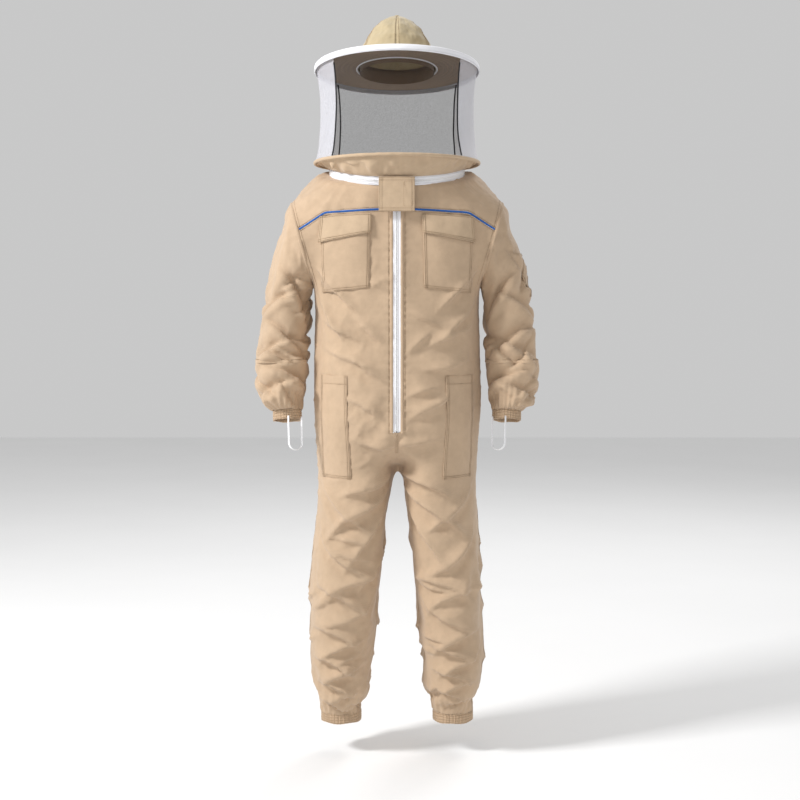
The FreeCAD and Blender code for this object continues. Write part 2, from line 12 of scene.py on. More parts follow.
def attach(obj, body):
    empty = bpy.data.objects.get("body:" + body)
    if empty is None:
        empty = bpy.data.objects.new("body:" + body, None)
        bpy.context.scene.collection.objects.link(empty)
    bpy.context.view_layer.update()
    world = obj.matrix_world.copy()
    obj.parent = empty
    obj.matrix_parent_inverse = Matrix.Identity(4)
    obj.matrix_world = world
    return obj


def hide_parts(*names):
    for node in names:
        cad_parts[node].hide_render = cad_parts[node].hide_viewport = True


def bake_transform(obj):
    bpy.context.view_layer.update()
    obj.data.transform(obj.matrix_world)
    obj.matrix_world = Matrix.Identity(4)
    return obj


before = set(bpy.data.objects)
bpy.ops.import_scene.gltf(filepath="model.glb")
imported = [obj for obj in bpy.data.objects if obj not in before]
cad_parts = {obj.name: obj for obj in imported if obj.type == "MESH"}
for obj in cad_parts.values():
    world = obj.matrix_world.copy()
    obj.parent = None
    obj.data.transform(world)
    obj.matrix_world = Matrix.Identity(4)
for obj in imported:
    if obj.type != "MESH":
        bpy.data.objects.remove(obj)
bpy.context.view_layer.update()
MM = 0.001
X, Y, Z = np.eye(3)

# ---- dimensions shared with the CAD part (millimetres here, turned to metres on use) ---------
FRONT_Y = -158.0
RING_R, RING_Y = 165.0, 1.9
TILT = math.radians(14.3)
RING_N = np.array([0, -math.sin(TILT), math.cos(TILT)])
RING_V = np.array([0, math.cos(TILT), math.sin(TILT)])
RING_C = np.array([0, RING_Y, 0]) * MM
CROTCH_Z = -702.0
BRIM_A = math.radians(5.4)
BRIM_N = np.array([0, math.sin(BRIM_A), math.cos(BRIM_A)])
BRIM_V = np.array([0, math.cos(BRIM_A), -math.sin(BRIM_A)])
BRIM_C = np.array([0, 0, 250.0]) * MM
BRIM_R, HOOP_R, HOOP_Z = 197.5, 203.0, 18.0


def unit(v):
    v = np.array(v, float)
    return v / np.linalg.norm(v)


ARM_TOP, ARM_LOW = np.array([262.0, 0, -80.0]), np.array([205.0, 0, -285.0])
ARM_R = np.linalg.norm(ARM_TOP - ARM_LOW) / 2
ARM_C = (ARM_TOP + ARM_LOW) / 2
ARM_N = unit([205.0, 0, -57.0])
ELBOW, CUFF_AT = np.array([279.0, -3.0, -385.0]), np.array([271.0, -49.0, -592.0])
CUFF_DIR = unit(CUFF_AT - ELBOW)
ANKLE = np.array([142.0, 12.0, -1358.0])
THIGH_CUT = -0.86


# ---- section curves and lofted forms ---------------------------------------------------------
def ring(centre, u, v, a, b, power=2.0, n=64):
    t = 2 * np.pi * np.arange(n) / n
    cu = np.sign(np.cos(t)) * np.abs(np.cos(t)) ** (2 / power) * a
    cv = np.sign(np.sin(t)) * np.abs(np.sin(t)) ** (2 / power) * b
    return (np.array(centre) + np.outer(cu, u) + np.outer(cv, v)) * MM


def smooth_rings(rings, step):
    """More rings on a smooth path through the given ones, about step apart (metres)."""
    r = np.array(rings)
    mid = r.mean(1)
    chord = np.maximum(np.linalg.norm(np.diff(mid, axis=0), axis=1), 1e-5)
    s = np.concatenate([[0], np.cumsum(chord)])
    slope = np.gradient(r, s, axis=0)
    out = []
    for i in range(len(r) - 1):
        h = s[i + 1] - s[i]
        n = max(1, int(round(h / step)))
        for k in range(n):
            t = k / n
            out.append((2 * t**3 - 3 * t**2 + 1) * r[i] + (t**3 - 2 * t**2 + t) * h * slope[i]
                       + (3 * t**2 - 2 * t**3) * r[i + 1] + (t**3 - t**2) * h * slope[i + 1])
    out.append(r[-1])
    return np.array(out)


def trunk_ring(z, tilt, a, back, power, grow, front=FRONT_Y):
    t = math.radians(tilt)
    half = (back - front) / 2 / math.cos(t)
    v = np.array([0, math.cos(t), math.sin(t)])
    return ring((0, (back + front) / 2, z), X, v, a + grow, half + grow, power)


def trunk_rings(grow):
    def neck(h):
        return ring(RING_C / MM + RING_N * h, X, RING_V, RING_R + grow, RING_R + grow)
    return [neck(22.0), neck(0.0),
            trunk_ring(-16.0, 15.5, 206.0, 156.0, 2.15, grow),
            trunk_ring(-44.0, 12.0, 237.0, 152.0, 2.3, grow),
            trunk_ring(-92.0, 6.0, 256.0, 148.0, 2.4, grow),
            trunk_ring(-182.0, 0.0, 243.0, 142.0, 2.5, grow),
            trunk_ring(-290.0, 0.0, 200.0, 136.0, 2.5, grow),
            trunk_ring(-420.0, 0.0, 198.0, 124.0, 2.5, grow),
            trunk_ring(-540.0, 0.0, 204.0, 140.0, 2.5, grow),
            trunk_ring(-640.0, 0.0, 200.0, 148.0, 2.4, grow),
            trunk_ring(CROTCH_Z - grow, 0.0, 176.0, 128.0, 2.2, grow, -134.0)]


def lobe_rings(grow, sign=1):
    n = ARM_N * (sign, 1, 1)
    centre = ARM_C * (sign, 1, 1)
    up = np.cross(Y, n)
    return [ring(centre + n * along, Y, up, r + grow, r + grow)
            for along, r in ((-95.0, 118.0), (-50.0, 113.0), (0.0, ARM_R), (20.0, ARM_R))]


LEG_RINGS = ((-560, 102, -6, 92, 128), (-640, 103, -5, 97, 138), (-702, 102, -3, 95, 132),
             (-790, 102, -1, 90, 126), (-870, 108, -1, 88, 118), (-985, 119, -4, 91, 108),
             (-1120, 125, 0, 85, 102), (-1220, 134, 6, 76, 92), (-1290, 134, 10, 69, 82),
             (-1335, 140, 12, 58, 64), (-1358, 142, 12, 51, 51), (-1378, 142, 12, 51, 51))


def leg_rings(grow, sign=1):
    return [ring((x * sign, y, z), X, Y, a + grow, b + grow) for z, x, y, a, b in LEG_RINGS]


SLEEVE_RINGS = ((297, -160, 208.5, -291, 0, 97), (322, -250, 211.5, -303, 0, 84),
                (343, -372, 213, -383, -3, 76), (353, -470, 217, -478, -20, 72),
                (347, -540, 224, -545, -36, 63), (329, -573, 232, -578, -44, 49))


def sleeve_rings(grow, sign=1, first=0.3):
    """Armhole circle, sleeve sections, cuff circle; every ring starts at the front."""
    flip = np.array([sign, 1, 1])
    n = ARM_N * flip
    down = np.cross(Y, ARM_N) * flip
    out = [ring(ARM_C * flip + n * first, -Y, down, ARM_R + grow, ARM_R + grow)]
    for ox, oz, ix, iz, cy, depth in SLEEVE_RINGS:
        across = np.array([ix - ox, 0, iz - oz], float)
        half = np.linalg.norm(across) / 2
        centre = np.array([(ox + ix) / 2, cy, (oz + iz) / 2])
        out.append(ring(centre * flip, -Y, across / half / 2 * flip, depth + grow, half + grow))
    side = unit(np.cross(Y, CUFF_DIR))
    v = np.cross(CUFF_DIR, side)
    out.append(ring(CUFF_AT * flip, -v * flip, side * flip, 35.5 + grow, 35.5 + grow))
    return out


def tube_faces(rings, around, closed=True):
    faces = []
    for i in range(rings - 1):
        for k in range(around if closed else around - 1):
            j = (k + 1) % around
            faces.append((i * around + k, i * around + j, (i + 1) * around + j, (i + 1) * around + k))
    return faces


def make(name, verts, faces, smooth=True):
    me = bpy.data.meshes.new(name)
    me.from_pydata([tuple(v) for v in np.asarray(verts, float)], [], [tuple(int(i) for i in f) for f in faces])
    me.update()
    if smooth:
        me.polygons.foreach_set("use_smooth", [True] * len(me.polygons))
    ob = bpy.data.objects.new(name, me)
    bpy.context.scene.collection.objects.link(ob)
    return ob


def coords(ob):
    co = np.zeros(len(ob.data.vertices) * 3)
    ob.data.vertices.foreach_get("co", co)
    return co.reshape(-1, 3)


def cKD(points):
    tree = kdtree.KDTree(len(points))
    for i, p in enumerate(points):
        tree.insert(Vector(p), i)
    tree.balance()
    return tree


def put(ob, co):
    ob.data.vertices.foreach_set("co", np.asarray(co, float).ravel())
    ob.data.update()


def closed_loft(parts):
    """One mesh of several closed tubes, each given by its rings."""
    verts, faces, base = [], [], 0
    for rings in parts:
        r = np.array(rings)
        n = r.shape[1]
        verts.append(r.reshape(-1, 3))
        faces += [tuple(base + i for i in f) for f in tube_faces(len(r), n)]
        faces.append(tuple(base + k for k in range(n)))
        faces.append(tuple(base + (len(r) - 1) * n + k for k in reversed(range(n))))
        base += len(r) * n
    return np.concatenate(verts), faces


def evaluated(ob):
    """The object's mesh with its modifiers worked in; the modifiers are then dropped."""
    dg = bpy.context.evaluated_depsgraph_get()
    me = bpy.data.meshes.new_from_object(ob.evaluated_get(dg))
    old = ob.data
    ob.modifiers.clear()
    if old.shape_keys:
        ob.shape_key_clear()
    ob.data = me
    me.name = ob.name
    return ob


def form(name, grow_trunk, grow_lobe, grow_leg, voxel):
    """Trunk, shoulders and legs as one closed skin."""
    parts = [smooth_rings(trunk_rings(grow_trunk), 0.03)]
    for s in (1, -1):
        parts.append(smooth_rings(lobe_rings(grow_lobe, s), 0.03))
        parts.append(smooth_rings(leg_rings(grow_leg, s), 0.03))
    ob = make(name, *closed_loft(parts))
    bm = bmesh.new()
    bm.from_mesh(ob.data)
    bmesh.ops.recalc_face_normals(bm, faces=bm.faces)
    bm.to_mesh(ob.data)
    bm.free()
    m = ob.modifiers.new("r", "REMESH")
    m.mode, m.voxel_size = "VOXEL", voxel
    return evaluated(ob)


# ---- the coverall's cloth before it hangs ----------------------------------------------------
def bisect(bm, point, normal, where, outer=False):
    bm.verts.index_update()
    bm.edges.index_update()
    geom = [f for f in bm.faces if where(f.calc_center_median())]
    # in the order of their indices, so that every run cuts alike
    edges = sorted({e for f in geom for e in f.edges}, key=lambda e: e.index)
    verts = sorted({v for f in geom for v in f.verts}, key=lambda v: v.index)
    bmesh.ops.bisect_plane(bm, geom=geom + edges + verts, dist=1e-6,
                           plane_co=Vector(point), plane_no=Vector(normal), clear_outer=outer)


def cut_coverall(ob):
    """Opens the neck, armholes, ankles and zip slot, and lays edges along the panel borders."""
    bm = bmesh.new()
    bm.from_mesh(ob.data)
    for _ in range(6):
        bmesh.ops.smooth_vert(bm, verts=bm.verts, factor=0.5, use_axis_x=True, use_axis_y=True, use_axis_z=True)
    bisect(bm, RING_C - RING_N * 0.007, RING_N, lambda c: c.z > -0.09, True)
    for s in (1, -1):
        bisect(bm, ARM_C * (s, 1, 1) * MM, ARM_N * (s, 1, 1),
               lambda c: c.x * s > 0.16 and c.z > -0.297, True)
        bisect(bm, ANKLE * MM, (0, 0, -1), lambda c: c.z < -1.3 and c.x * s > 0, True)
    bisect(bm, (0, 0, 0), (1, 0, 0), lambda c: abs(c.x) < 0.05)
    bisect(bm, (0, 0, THIGH_CUT), (0, 0, 1), lambda c: abs(c.z - THIGH_CUT) < 0.05)
    slot = lambda c: c.y < -0.1 and c.z > -0.66 and abs(c.x) < 0.04
    for x in (0.01, -0.01):
        bisect(bm, (x, 0, 0), (1, 0, 0), slot)
    bisect(bm, (0, 0, -0.637), (0, 0, 1), slot)
    gone = [f for f in bm.faces if slot(f.calc_center_median())
            and abs(f.calc_center_median().x) < 0.01 and f.calc_center_median().z > -0.637]
    bmesh.ops.delete(bm, geom=gone, context="FACES")
    bmesh.ops.remove_doubles(bm, verts=bm.verts, dist=0.0035)
    bmesh.ops.dissolve_degenerate(bm, edges=bm.edges, dist=1e-5)
    bm.verts.ensure_lookup_table()
    bm.verts.index_update()
    tags = {"neck": [], "arm_l": [], "arm_r": [], "ankle": [], "zip": []}
    for v in bm.verts:
        if not v.is_boundary:
            continue
        p = np.array(v.co)
        if p[2] < -1.2:
            p[2] = ANKLE[2] * MM
            c = ANKLE * (math.copysign(1, p[0]), 1, 1) * MM
            d = p - c
            p = c + d / np.linalg.norm(d) * 0.051
            tags["ankle"].append(v.index)
        elif abs(p[0]) < 0.02 and p[1] < -0.1:
            p[0] = math.copysign(0.01, p[0]) if p[2] > -0.63 else p[0]
            tags["zip"].append(v.index)
        elif abs(p[0]) > 0.18 and p[2] < -0.06:
            s = math.copysign(1, p[0])
            c, n = ARM_C * (s, 1, 1) * MM, ARM_N * (s, 1, 1)
            d = p - c
            d -= n * (d @ n)
            p = c + d / np.linalg.norm(d) * ARM_R * MM
            tags["arm_l" if s > 0 else "arm_r"].append(v.index)
        else:
            d = p - RING_C
            d -= RING_N * (d @ RING_N)
            p = RING_C - RING_N * 0.007 + d / np.linalg.norm(d) * RING_R * MM
            tags["neck"].append(v.index)
        v.co = p
    bm.to_mesh(ob.data)
    bm.free()
    print("cloth", len(ob.data.vertices), {k: len(v) for k, v in tags.items()})
    return tags


def lengthened(co, knots, widen, wobble, seed):
    """Rest shape of the cloth: longer downwards by the rates in knots, with uneven slack."""
    z = co[:, 2]
    grid = np.linspace(-1.45, 0.1, 400)
    rate = np.interp(grid, [k[0] for k in knots], [k[1] for k in knots])
    run = np.cumsum(rate) * (grid[1] - grid[0])
    out = co.copy()
    out[:, 2] = np.interp(z, grid, run)
    out[:, :2] *= 1 + widen
    off = Vector((seed * 7.3, seed * 3.1, seed))
    for i, p in enumerate(co):
        q = noise.noise_vector(Vector(p) * 5.0 + off) * wobble \
            + noise.noise_vector(Vector(p) * 14.0 + off) * (wobble * 0.4)
        out[i] += q
    return out


def hang(ob, pins, rest, bend, stiff, colliders=None, mass=0.2, gravity=1.0, damp=5.0):
    """Readies the object as cloth held at its pins."""
    group = ob.vertex_groups.new(name="pin")
    group.add([int(i) for i in pins], 1.0, "REPLACE")
    ob.shape_key_add(name="Basis")
    key = ob.shape_key_add(name="Rest")
    key.data.foreach_set("co", rest.ravel())
    key.value = 0.0
    m = ob.modifiers.new("cloth", "CLOTH")
    s = m.settings
    s.quality, s.mass, s.air_damping = 6, mass, 1.5
    s.tension_stiffness = s.compression_stiffness = stiff
    s.shear_stiffness, s.bending_stiffness = stiff * 0.4, bend
    s.tension_damping = s.compression_damping = s.shear_damping = damp
    s.bending_damping = 0.5
    s.vertex_group_mass, s.pin_stiffness = "pin", 1.0
    s.rest_shape_key = key
    s.effector_weights.gravity = gravity
    c = m.collision_settings
    c.use_collision = colliders is not None
    c.use_self_collision = False
    if colliders is not None:
        c.collection, c.distance_min, c.collision_quality = colliders, 0.003, 2
        c.friction, c.impulse_clamp = 8.0, 0.0
    m.point_cache.frame_start, m.point_cache.frame_end = 1, 80
    return ob


def collider(ob, collection):
    bm = bmesh.new()
    bm.from_mesh(ob.data)
    bmesh.ops.recalc_face_normals(bm, faces=bm.faces)
    bm.to_mesh(ob.data)
    bm.free()
    ob.modifiers.new("collide", "COLLISION")
    ob.collision.thickness_outer = 0.003
    ob.collision.cloth_friction = 8.0
    bpy.context.scene.collection.objects.unlink(ob)
    collection.objects.link(ob)


def limit(ob, before, most):
    """No point ends further from its start than most."""
    co = coords(ob)
    d = co - before
    far = np.linalg.norm(d, axis=1)
    k = np.minimum(1.0, most / np.maximum(far, 1e-9))
    put(ob, before + d * k[:, None])


# ---- folds laid into the cloth before it settles ---------------------------------------------
def folds(seed, count, rows, tilt, size, deep, bow=2.0):
    """Random folds as (angle, z, tilt, half length, half width, height, bow), z picked from rows."""
    rng = np.random.default_rng(seed)
    out = []
    for _ in range(count):
        lo, hi = rows[rng.integers(len(rows))]
        out.append((rng.uniform(-np.pi, np.pi), rng.uniform(lo, hi), rng.normal(0, tilt),
                    rng.uniform(0.6, 1.3) * size[0], rng.uniform(0.7, 1.3) * size[1],
                    rng.uniform(0.5, 1.0) * deep, rng.uniform(-bow, bow)))
    return out


def pressed(co, nor, axis, radius, strokes, narrow=1.0):
    """Pushes the cloth out along each fold and in beside it; axis gives the tube's middle at a height."""
    mid = np.array([np.interp(co[:, 2], axis[::-1, 2], axis[::-1, k]) for k in (0, 1)]).T
    angle = np.arctan2(co[:, 0] - mid[:, 0], -(co[:, 1] - mid[:, 1]))
    warp = np.array([noise.noise(Vector(p) * 9.0) for p in co]) * 0.012
    push = np.zeros(len(co))
    for a, z, tilt, half, width, high, bow in strokes:
        du = (np.mod(angle - a + np.pi, 2 * np.pi) - np.pi) * radius
        dz = co[:, 2] - z + warp
        along = du * math.cos(tilt) + dz * math.sin(tilt)
        across = -du * math.sin(tilt) + dz * math.cos(tilt) + bow * along ** 2
        t = across / (width * narrow * (1.15 - 0.5 * np.clip(np.abs(along) / half, 0, 1)))
        ends = np.clip(1 - (along / half) ** 2, 0, 1) ** 1.5
        push += high * ends * (np.exp(0.35 - 1.6 * np.sqrt(t * t + 0.05)) - 0.8 * np.exp(-((t + 1.2) / 0.6) ** 2))
    push = 0.022 * np.tanh(push * 2.0 / 0.022)
    return co + nor * push[:, None]


def normals(ob):
    n = np.zeros(len(ob.data.vertices) * 3)
    ob.data.vertices.foreach_get("normal", n)
    return n.reshape(-1, 3)


def stroke(x, z, x2, z2, width, high, front=True, radius=0.105, mid=0.0, bow=0.0):
    """A fold between two points seen from the front, as a stroke around the tube."""
    def turn(px):
        a = math.asin(max(-0.98, min(0.98, (px - mid) / radius)))
        return a if front else math.pi - a
    a, b = turn(x), turn(x2)
    du, dz = (b - a) * radius, z2 - z
    if du < 0:
        du, dz = -du, -dz
    return ((a + b) / 2, (z + z2) / 2, math.atan2(dz, du), math.hypot(du, dz) / 2 * 1.15, width, high, bow)


def trunk_folds():
    f = []
    for x, z, x2, z2, w, h in (
            (0.015, -0.46, 0.10, -0.40, 0.014, 0.006), (-0.015, -0.44, -0.12, -0.36, 0.015, 0.007),
            (0.02, -0.34, 0.13, -0.39, 0.014, 0.006), (-0.02, -0.30, -0.09, -0.27, 0.012, 0.005),
            (-0.02, -0.53, -0.13, -0.45, 0.016, 0.008), (0.02, -0.56, 0.12, -0.52, 0.016, 0.007),
            (0.02, -0.62, 0.15, -0.54, 0.016, 0.008), (-0.02, -0.61, -0.14, -0.55, 0.016, 0.008),
            (-0.19, -0.22, -0.10, -0.36, 0.014, 0.009), (0.19, -0.22, 0.11, -0.35, 0.014, 0.009),
            (-0.19, -0.28, -0.13, -0.43, 0.012, 0.008), (0.19, -0.30, 0.12, -0.42, 0.012, 0.008),
            (-0.18, -0.36, -0.10, -0.42, 0.013, 0.008), (0.18, -0.38, 0.08, -0.44, 0.013, 0.008),
            (-0.18, -0.43, -0.06, -0.49, 0.013, 0.007), (0.18, -0.46, 0.07, -0.49, 0.013, 0.007)):
        f.append(stroke(x, z, x2, z2, w, h, radius=0.20))
        f.append(stroke(-x, z + 0.01, -x2, z2 - 0.02, w, h * 0.8, front=False, radius=0.20))
    return f


def leg_folds(s):
    f = []
    for x, z, x2, z2, w, h, bow in (
            (0.01, -0.72, 0.14, -0.79, 0.015, 0.010, 1.5), (0.02, -0.75, 0.17, -0.90, 0.016, 0.010, 1.0),
            (0.03, -0.80, 0.12, -0.98, 0.014, 0.008, 1.0), (0.01, -0.68, 0.13, -0.65, 0.014, 0.008, -1.5),
            (0.19, -0.76, 0.07, -0.88, 0.014, 0.008, -1.0), (0.20, -0.88, 0.06, -1.00, 0.014, 0.009, -1.5),
            (0.03, -0.97, 0.18, -1.03, 0.014, 0.009, 2.0), (0.20, -1.00, 0.05, -1.07, 0.013, 0.009, 2.0),
            (0.04, -1.05, 0.19, -1.13, 0.013, 0.008, -2.0), (0.21, -1.10, 0.07, -1.16, 0.013, 0.010, 2.5),
            (0.06, -1.13, 0.20, -1.20, 0.012, 0.010, 2.5), (0.21, -1.18, 0.08, -1.23, 0.012, 0.010, 2.5),
            (0.07, -1.20, 0.20, -1.26, 0.011, 0.010, 2.5), (0.20, -1.245, 0.08, -1.285, 0.011, 0.009, 3.0),
            (0.08, -1.27, 0.19, -1.31, 0.010, 0.008, 3.0), (0.19, -1.30, 0.10, -1.335, 0.009, 0.006, 3.0)):
        mid = 0.103 + 0.035 * min(1.0, max(0.0, (-0.75 - z) / 0.45))
        f.append(stroke(s * x, z, s * x2, z2, w, h, mid=s * mid, bow=bow))
        f.append(stroke(s * (0.23 - x), z - 0.015, s * (0.23 - x2), z2 - 0.01, w, h * 0.9, False,
                        mid=s * mid, bow=bow))
    f += folds(21 if s > 0 else 22, 22, ((-1.33, -1.12), (-1.08, -0.86)), 0.35, (0.07, 0.011), 0.007)
    return f


def arm_folds(s):
    """Folds of a sleeve; z runs down the sleeve as for the body."""
    f = folds(31 if s > 0 else 32, 30, ((-0.56, -0.40), (-0.46, -0.28), (-0.34, -0.16)), 0.45,
              (0.075, 0.012), 0.010)
    f += [(s * a, z, s * t, 0.12, 0.014, h, 1.0) for a, z, t, h in (
        (-0.9, -0.25, 0.9, 0.011), (-0.4, -0.30, 0.8, 0.011), (0.6, -0.33, -0.5, 0.010),
        (-0.3, -0.41, 0.5, 0.012), (0.7, -0.44, -0.4, 0.012), (-0.6, -0.50, 0.3, 0.011),
        (0.4, -0.53, -0.3, 0.010), (2.6, -0.30, 0.7, 0.010), (-2.5, -0.38, 0.5, 0.011),
        (2.8, -0.46, -0.4, 0.011), (3.0, -0.52, 0.2, 0.010))]
    return f


TRUNK_AXIS = np.array([(0, -0.005, 0.1), (0, -0.005, -0.9)])
LEG_AXIS = np.array([(x, y, z) for z, x, y, a, b in LEG_RINGS]) * MM


def fold_shift(co, nor, free, narrow=1.0):
    """The coverall's big folds, fading out towards its held edges."""
    top = np.clip((-0.16 - co[:, 2]) / 0.12, 0, 1) * np.clip((co[:, 2] + 0.80) / 0.12, 0, 1)
    out = co + (pressed(co, nor, TRUNK_AXIS, 0.20, trunk_folds(), narrow) - co) * top[:, None]
    for s in (1, -1):
        axis = LEG_AXIS * (s, 1, 1)
        side = np.clip(co[:, 0] * s / 0.012, 0, 1) * np.clip((-0.62 - co[:, 2]) / 0.06, 0, 1)
        out += (pressed(co, nor, axis, 0.105, leg_folds(s), narrow) - co) * side[:, None]
    return (out - co) * free[:, None]


def sleeve_middle(s):
    r = smooth_rings(sleeve_rings(0.0, s), 0.03)
    return r.mean(1)



def make_cloths():
    """Hangs coverall, sleeves, skirt and nets together and returns their settled meshes."""
    forms = bpy.data.collections.new("forms")
    bpy.context.scene.collection.children.link(forms)
    cover = form("coverall", 0.0, 0.0, 0.0, 0.0105)
    tags = cut_coverall(cover)
    co = coords(cover)
    mark = cover.data.attributes.new("rest_co", "FLOAT_VECTOR", "POINT")
    mark.data.foreach_set("vector", co.ravel())
    held = np.array([co[i] for k in tags for i in tags[k]])
    tree = cKD(held)
    free = np.array([min(1.0, tree.find(Vector(p))[2] / 0.05) for p in co])
    mark = cover.data.attributes.new("free", "FLOAT_VECTOR", "POINT")
    mark.data.foreach_set("vector", np.repeat(free, 3))
    shaped = co + fold_shift(co, normals(cover), free)
    put(cover, shaped)
    sleeves = {}
    for side, s in (("left", 1), ("right", -1)):
        r = smooth_rings(sleeve_rings(0.0, s), 0.0095)
        r = np.array(r)
        ob = make("sleeve_" + side, r.reshape(-1, 3), tube_faces(len(r), 64))
        if s > 0:
            ob.data.flip_normals()
        mark = ob.data.attributes.new("rest_co", "FLOAT_VECTOR", "POINT")
        mark.data.foreach_set("vector", coords(ob).ravel())
        c, nor = coords(ob), normals(ob)
        share = np.repeat(np.linspace(0, 1, len(r)), 64)
        soft = np.clip(share / 0.15, 0, 1) * np.clip((1 - share) / 0.08, 0, 1)
        bent = pressed(c, nor, sleeve_middle(s), 0.085, arm_folds(s))
        put(ob, c + (bent - c) * soft[:, None])
        sleeves[side] = ob
    skirt = make_skirt()
    net = make_net()
    body = form("body_form", -13.0, -9.0, -24.0, 0.02)
    collider(body, forms)
    arms = []
    for s in (1, -1):
        r = smooth_rings(sleeve_rings(-20.0, s, -30.0), 0.02)
        arm = make("arm_form", *closed_loft([r]))
        collider(arm, forms)
        arms.append(arm)
    pins = [i for k in tags for i in tags[k]]
    rest = lengthened(shaped, [(-1.45, 1.07), (-1.1, 1.06), (-0.8, 1.04), (-0.66, 1.02), (-0.4, 1.03),
                               (-0.25, 1.01), (0.0, 1.0)], 0.0, 0.003, 3)
    hang(cover, pins, rest, 8.0, 12.0, forms, gravity=0.3)
    for side, ob in sleeves.items():
        c = coords(ob)
        n = len(c)
        rest = lengthened(c, [(-0.7, 1.07), (-0.4, 1.06), (-0.2, 1.04), (0.0, 1.02)], 0.0, 0.003,
                          5 if side == "left" else 9)
        rest = rest.reshape(-1, 64, 3)
        rm = rest.mean(1, keepdims=True)
        rest = (rm + (rest - rm) * 1.01).reshape(-1, 3)
        hang(ob, list(range(64)) + list(range(n - 64, n)), rest, 6.0, 12.0, forms, gravity=0.3)
    for ob, grow, bend in ((skirt, 1.09, 0.3), (net, 1.015, 0.1)):
        c = coords(ob)
        n = ob["around"]
        rest = c * (grow, grow, 1.0)
        z0 = rest[:, 2].mean()
        rest[:, 2] = z0 + (rest[:, 2] - z0) * (1.12 if ob is skirt else 1.03)
        rest += np.array([noise.noise_vector(Vector(p) * 11.0) * 0.004 for p in c])
        hang(ob, list(range(n)) + list(range(len(c) - n, len(c))), rest, bend, 10.0, None, 0.1,
             1.0 if ob is skirt else 0.4)
    cloths = [cover, *sleeves.values(), skirt, net]
    before = [coords(o) for o in cloths]
    scene = bpy.context.scene
    for f in range(1, 36):
        scene.frame_set(f)
    for ob, was in zip(cloths, before):
        evaluated(ob)
        limit(ob, was, 0.03)
    scene.frame_set(1)
    for ob in [body, *arms]:
        bpy.data.objects.remove(ob)
    bpy.data.collections.remove(forms)
    return cover, tags, sleeves, skirt, net


def make_skirt():
    """Gathered cloth from the zip out and up to the lower hoop."""
    n = 192
    t = 2 * np.pi * np.arange(n) / n
    low = RING_C + RING_N * 0.0105 + np.outer(np.cos(t), X) * 0.1636 + np.outer(np.sin(t), RING_V) * 0.1636
    mid = RING_C + RING_N * 0.015 + RING_V * 0.006 + np.outer(np.cos(t), X) * 0.176 \
        + np.outer(np.sin(t), RING_V) * 0.176
    top = np.array([0, 0, HOOP_Z * MM]) + np.outer(np.cos(t), X) * 0.1995 + np.outer(np.sin(t), Y) * 0.1995
    r = [low] + [low + (mid - low) * k for k in (0.5,)]
    for k in np.linspace(0, 1, 7):
        r.append(mid + (top - mid) * k)
    r = np.array(r)
    for i in range(1, len(r) - 1):
        # the rows beside the zip stay flat, so that no fold comes through its tape
        amp = math.sin(math.pi * max(0, i - 2) / (len(r) - 3)) ** 0.6
        for k in range(n):
            q = Vector((math.cos(t[k]) * 6, math.sin(t[k]) * 6, i * 0.35))
            fold = (1 - abs(noise.noise(q * 1.3)) * 2.6) * 12.0 - 3.5
            out = np.array([math.cos(t[k]), math.sin(t[k]), 0])
            r[i, k] += amp * MM * (out * (12.0 * noise.noise(q + Vector((4, 0, 0))) + 1.0)
                                   + Z * (fold + 7.0 * noise.noise(q * 2.6)))
    ob = make("veil_skirt_cloth", r.reshape(-1, 3), tube_faces(len(r), n))
    ob["around"] = n
    return ob


def make_net():
    """The veil's wall from the brim's edge down to the lower hoop; panels are parted later."""
    n = 144
    rows = 22
    t = 2 * np.pi * (np.arange(n)) / n
    r = []
    for share in np.linspace(0, 1, rows):
        z = 0.2465 + (0.0215 - 0.2465) * share
        a = BRIM_A * (1 - share)
        v = np.array([0, math.cos(a), -math.sin(a)])
        rad = 0.1985 + 0.0035 * share - 0.011 * math.sin(math.pi * share) ** 0.8
        side = np.abs(np.sin(t)) ** 3 * math.sin(math.pi * share) ** 0.5
        drape = np.array([(1 - abs(noise.noise(Vector((a * 5.5 + share * 2.2, share * 1.4, 3)))) * 2.4) * 5 - 2
                          for a in t])
        sag = np.array([noise.noise(Vector((a * 3, share * 4, 8))) for a in t]) * 1.6 * math.sin(math.pi * share)
        rad = rad + (side * drape - 2 * side + sag) * MM
        r.append(np.array([0, 0, z]) + np.outer(np.sin(t) * rad, X) - np.outer(np.cos(t) * rad, v))
    r = np.array(r)
    ob = make("veil_net", r.reshape(-1, 3), tube_faces(rows, n))
    ob["around"] = n
    return ob


# ---- materials -------------------------------------------------------------------------------
def shader(name, rough, **fixed):
    m = bpy.data.materials.new(name)
    m.use_nodes = True
    nt = m.node_tree
    nt.nodes.clear()
    out = nt.nodes.new("ShaderNodeOutputMaterial")
    b = nt.nodes.new("ShaderNodeBsdfPrincipled")
    nt.links.new(b.outputs[0], out.inputs[0])
    b.inputs["Roughness"].default_value = rough
    for k, v in fixed.items():
        b.inputs[k.replace("_", " ")].default_value = v
    return m, nt, b


def node(nt, kind, links=(), **values):
    n = nt.nodes.new(kind)
    for k, v in values.items():
        if k.startswith("in_"):
            n.inputs[k[3:].replace("_", " ")].default_value = v
        else:
            setattr(n, k, v)
    for a, b in links:
        nt.links.new(a, n.inputs[b])
    return n


def blur(nt, co, scale, detail=3.0, kind="FBM", rough=0.55):
    return node(nt, "ShaderNodeTexNoise", [(co, "Vector")], noise_type=kind,
                in_Scale=scale, in_Detail=detail, in_Roughness=rough)


def ramp(nt, value, low, high, a, b):
    r = node(nt, "ShaderNodeMapRange", [(value, "Value")])
    for i, v in zip((1, 2, 3, 4), (low, high, a, b)):
        r.inputs[i].default_value = v
    return r


def rgb(c, k=1.0):
    return (c[0] * k, c[1] * k, c[2] * k, 1.0)


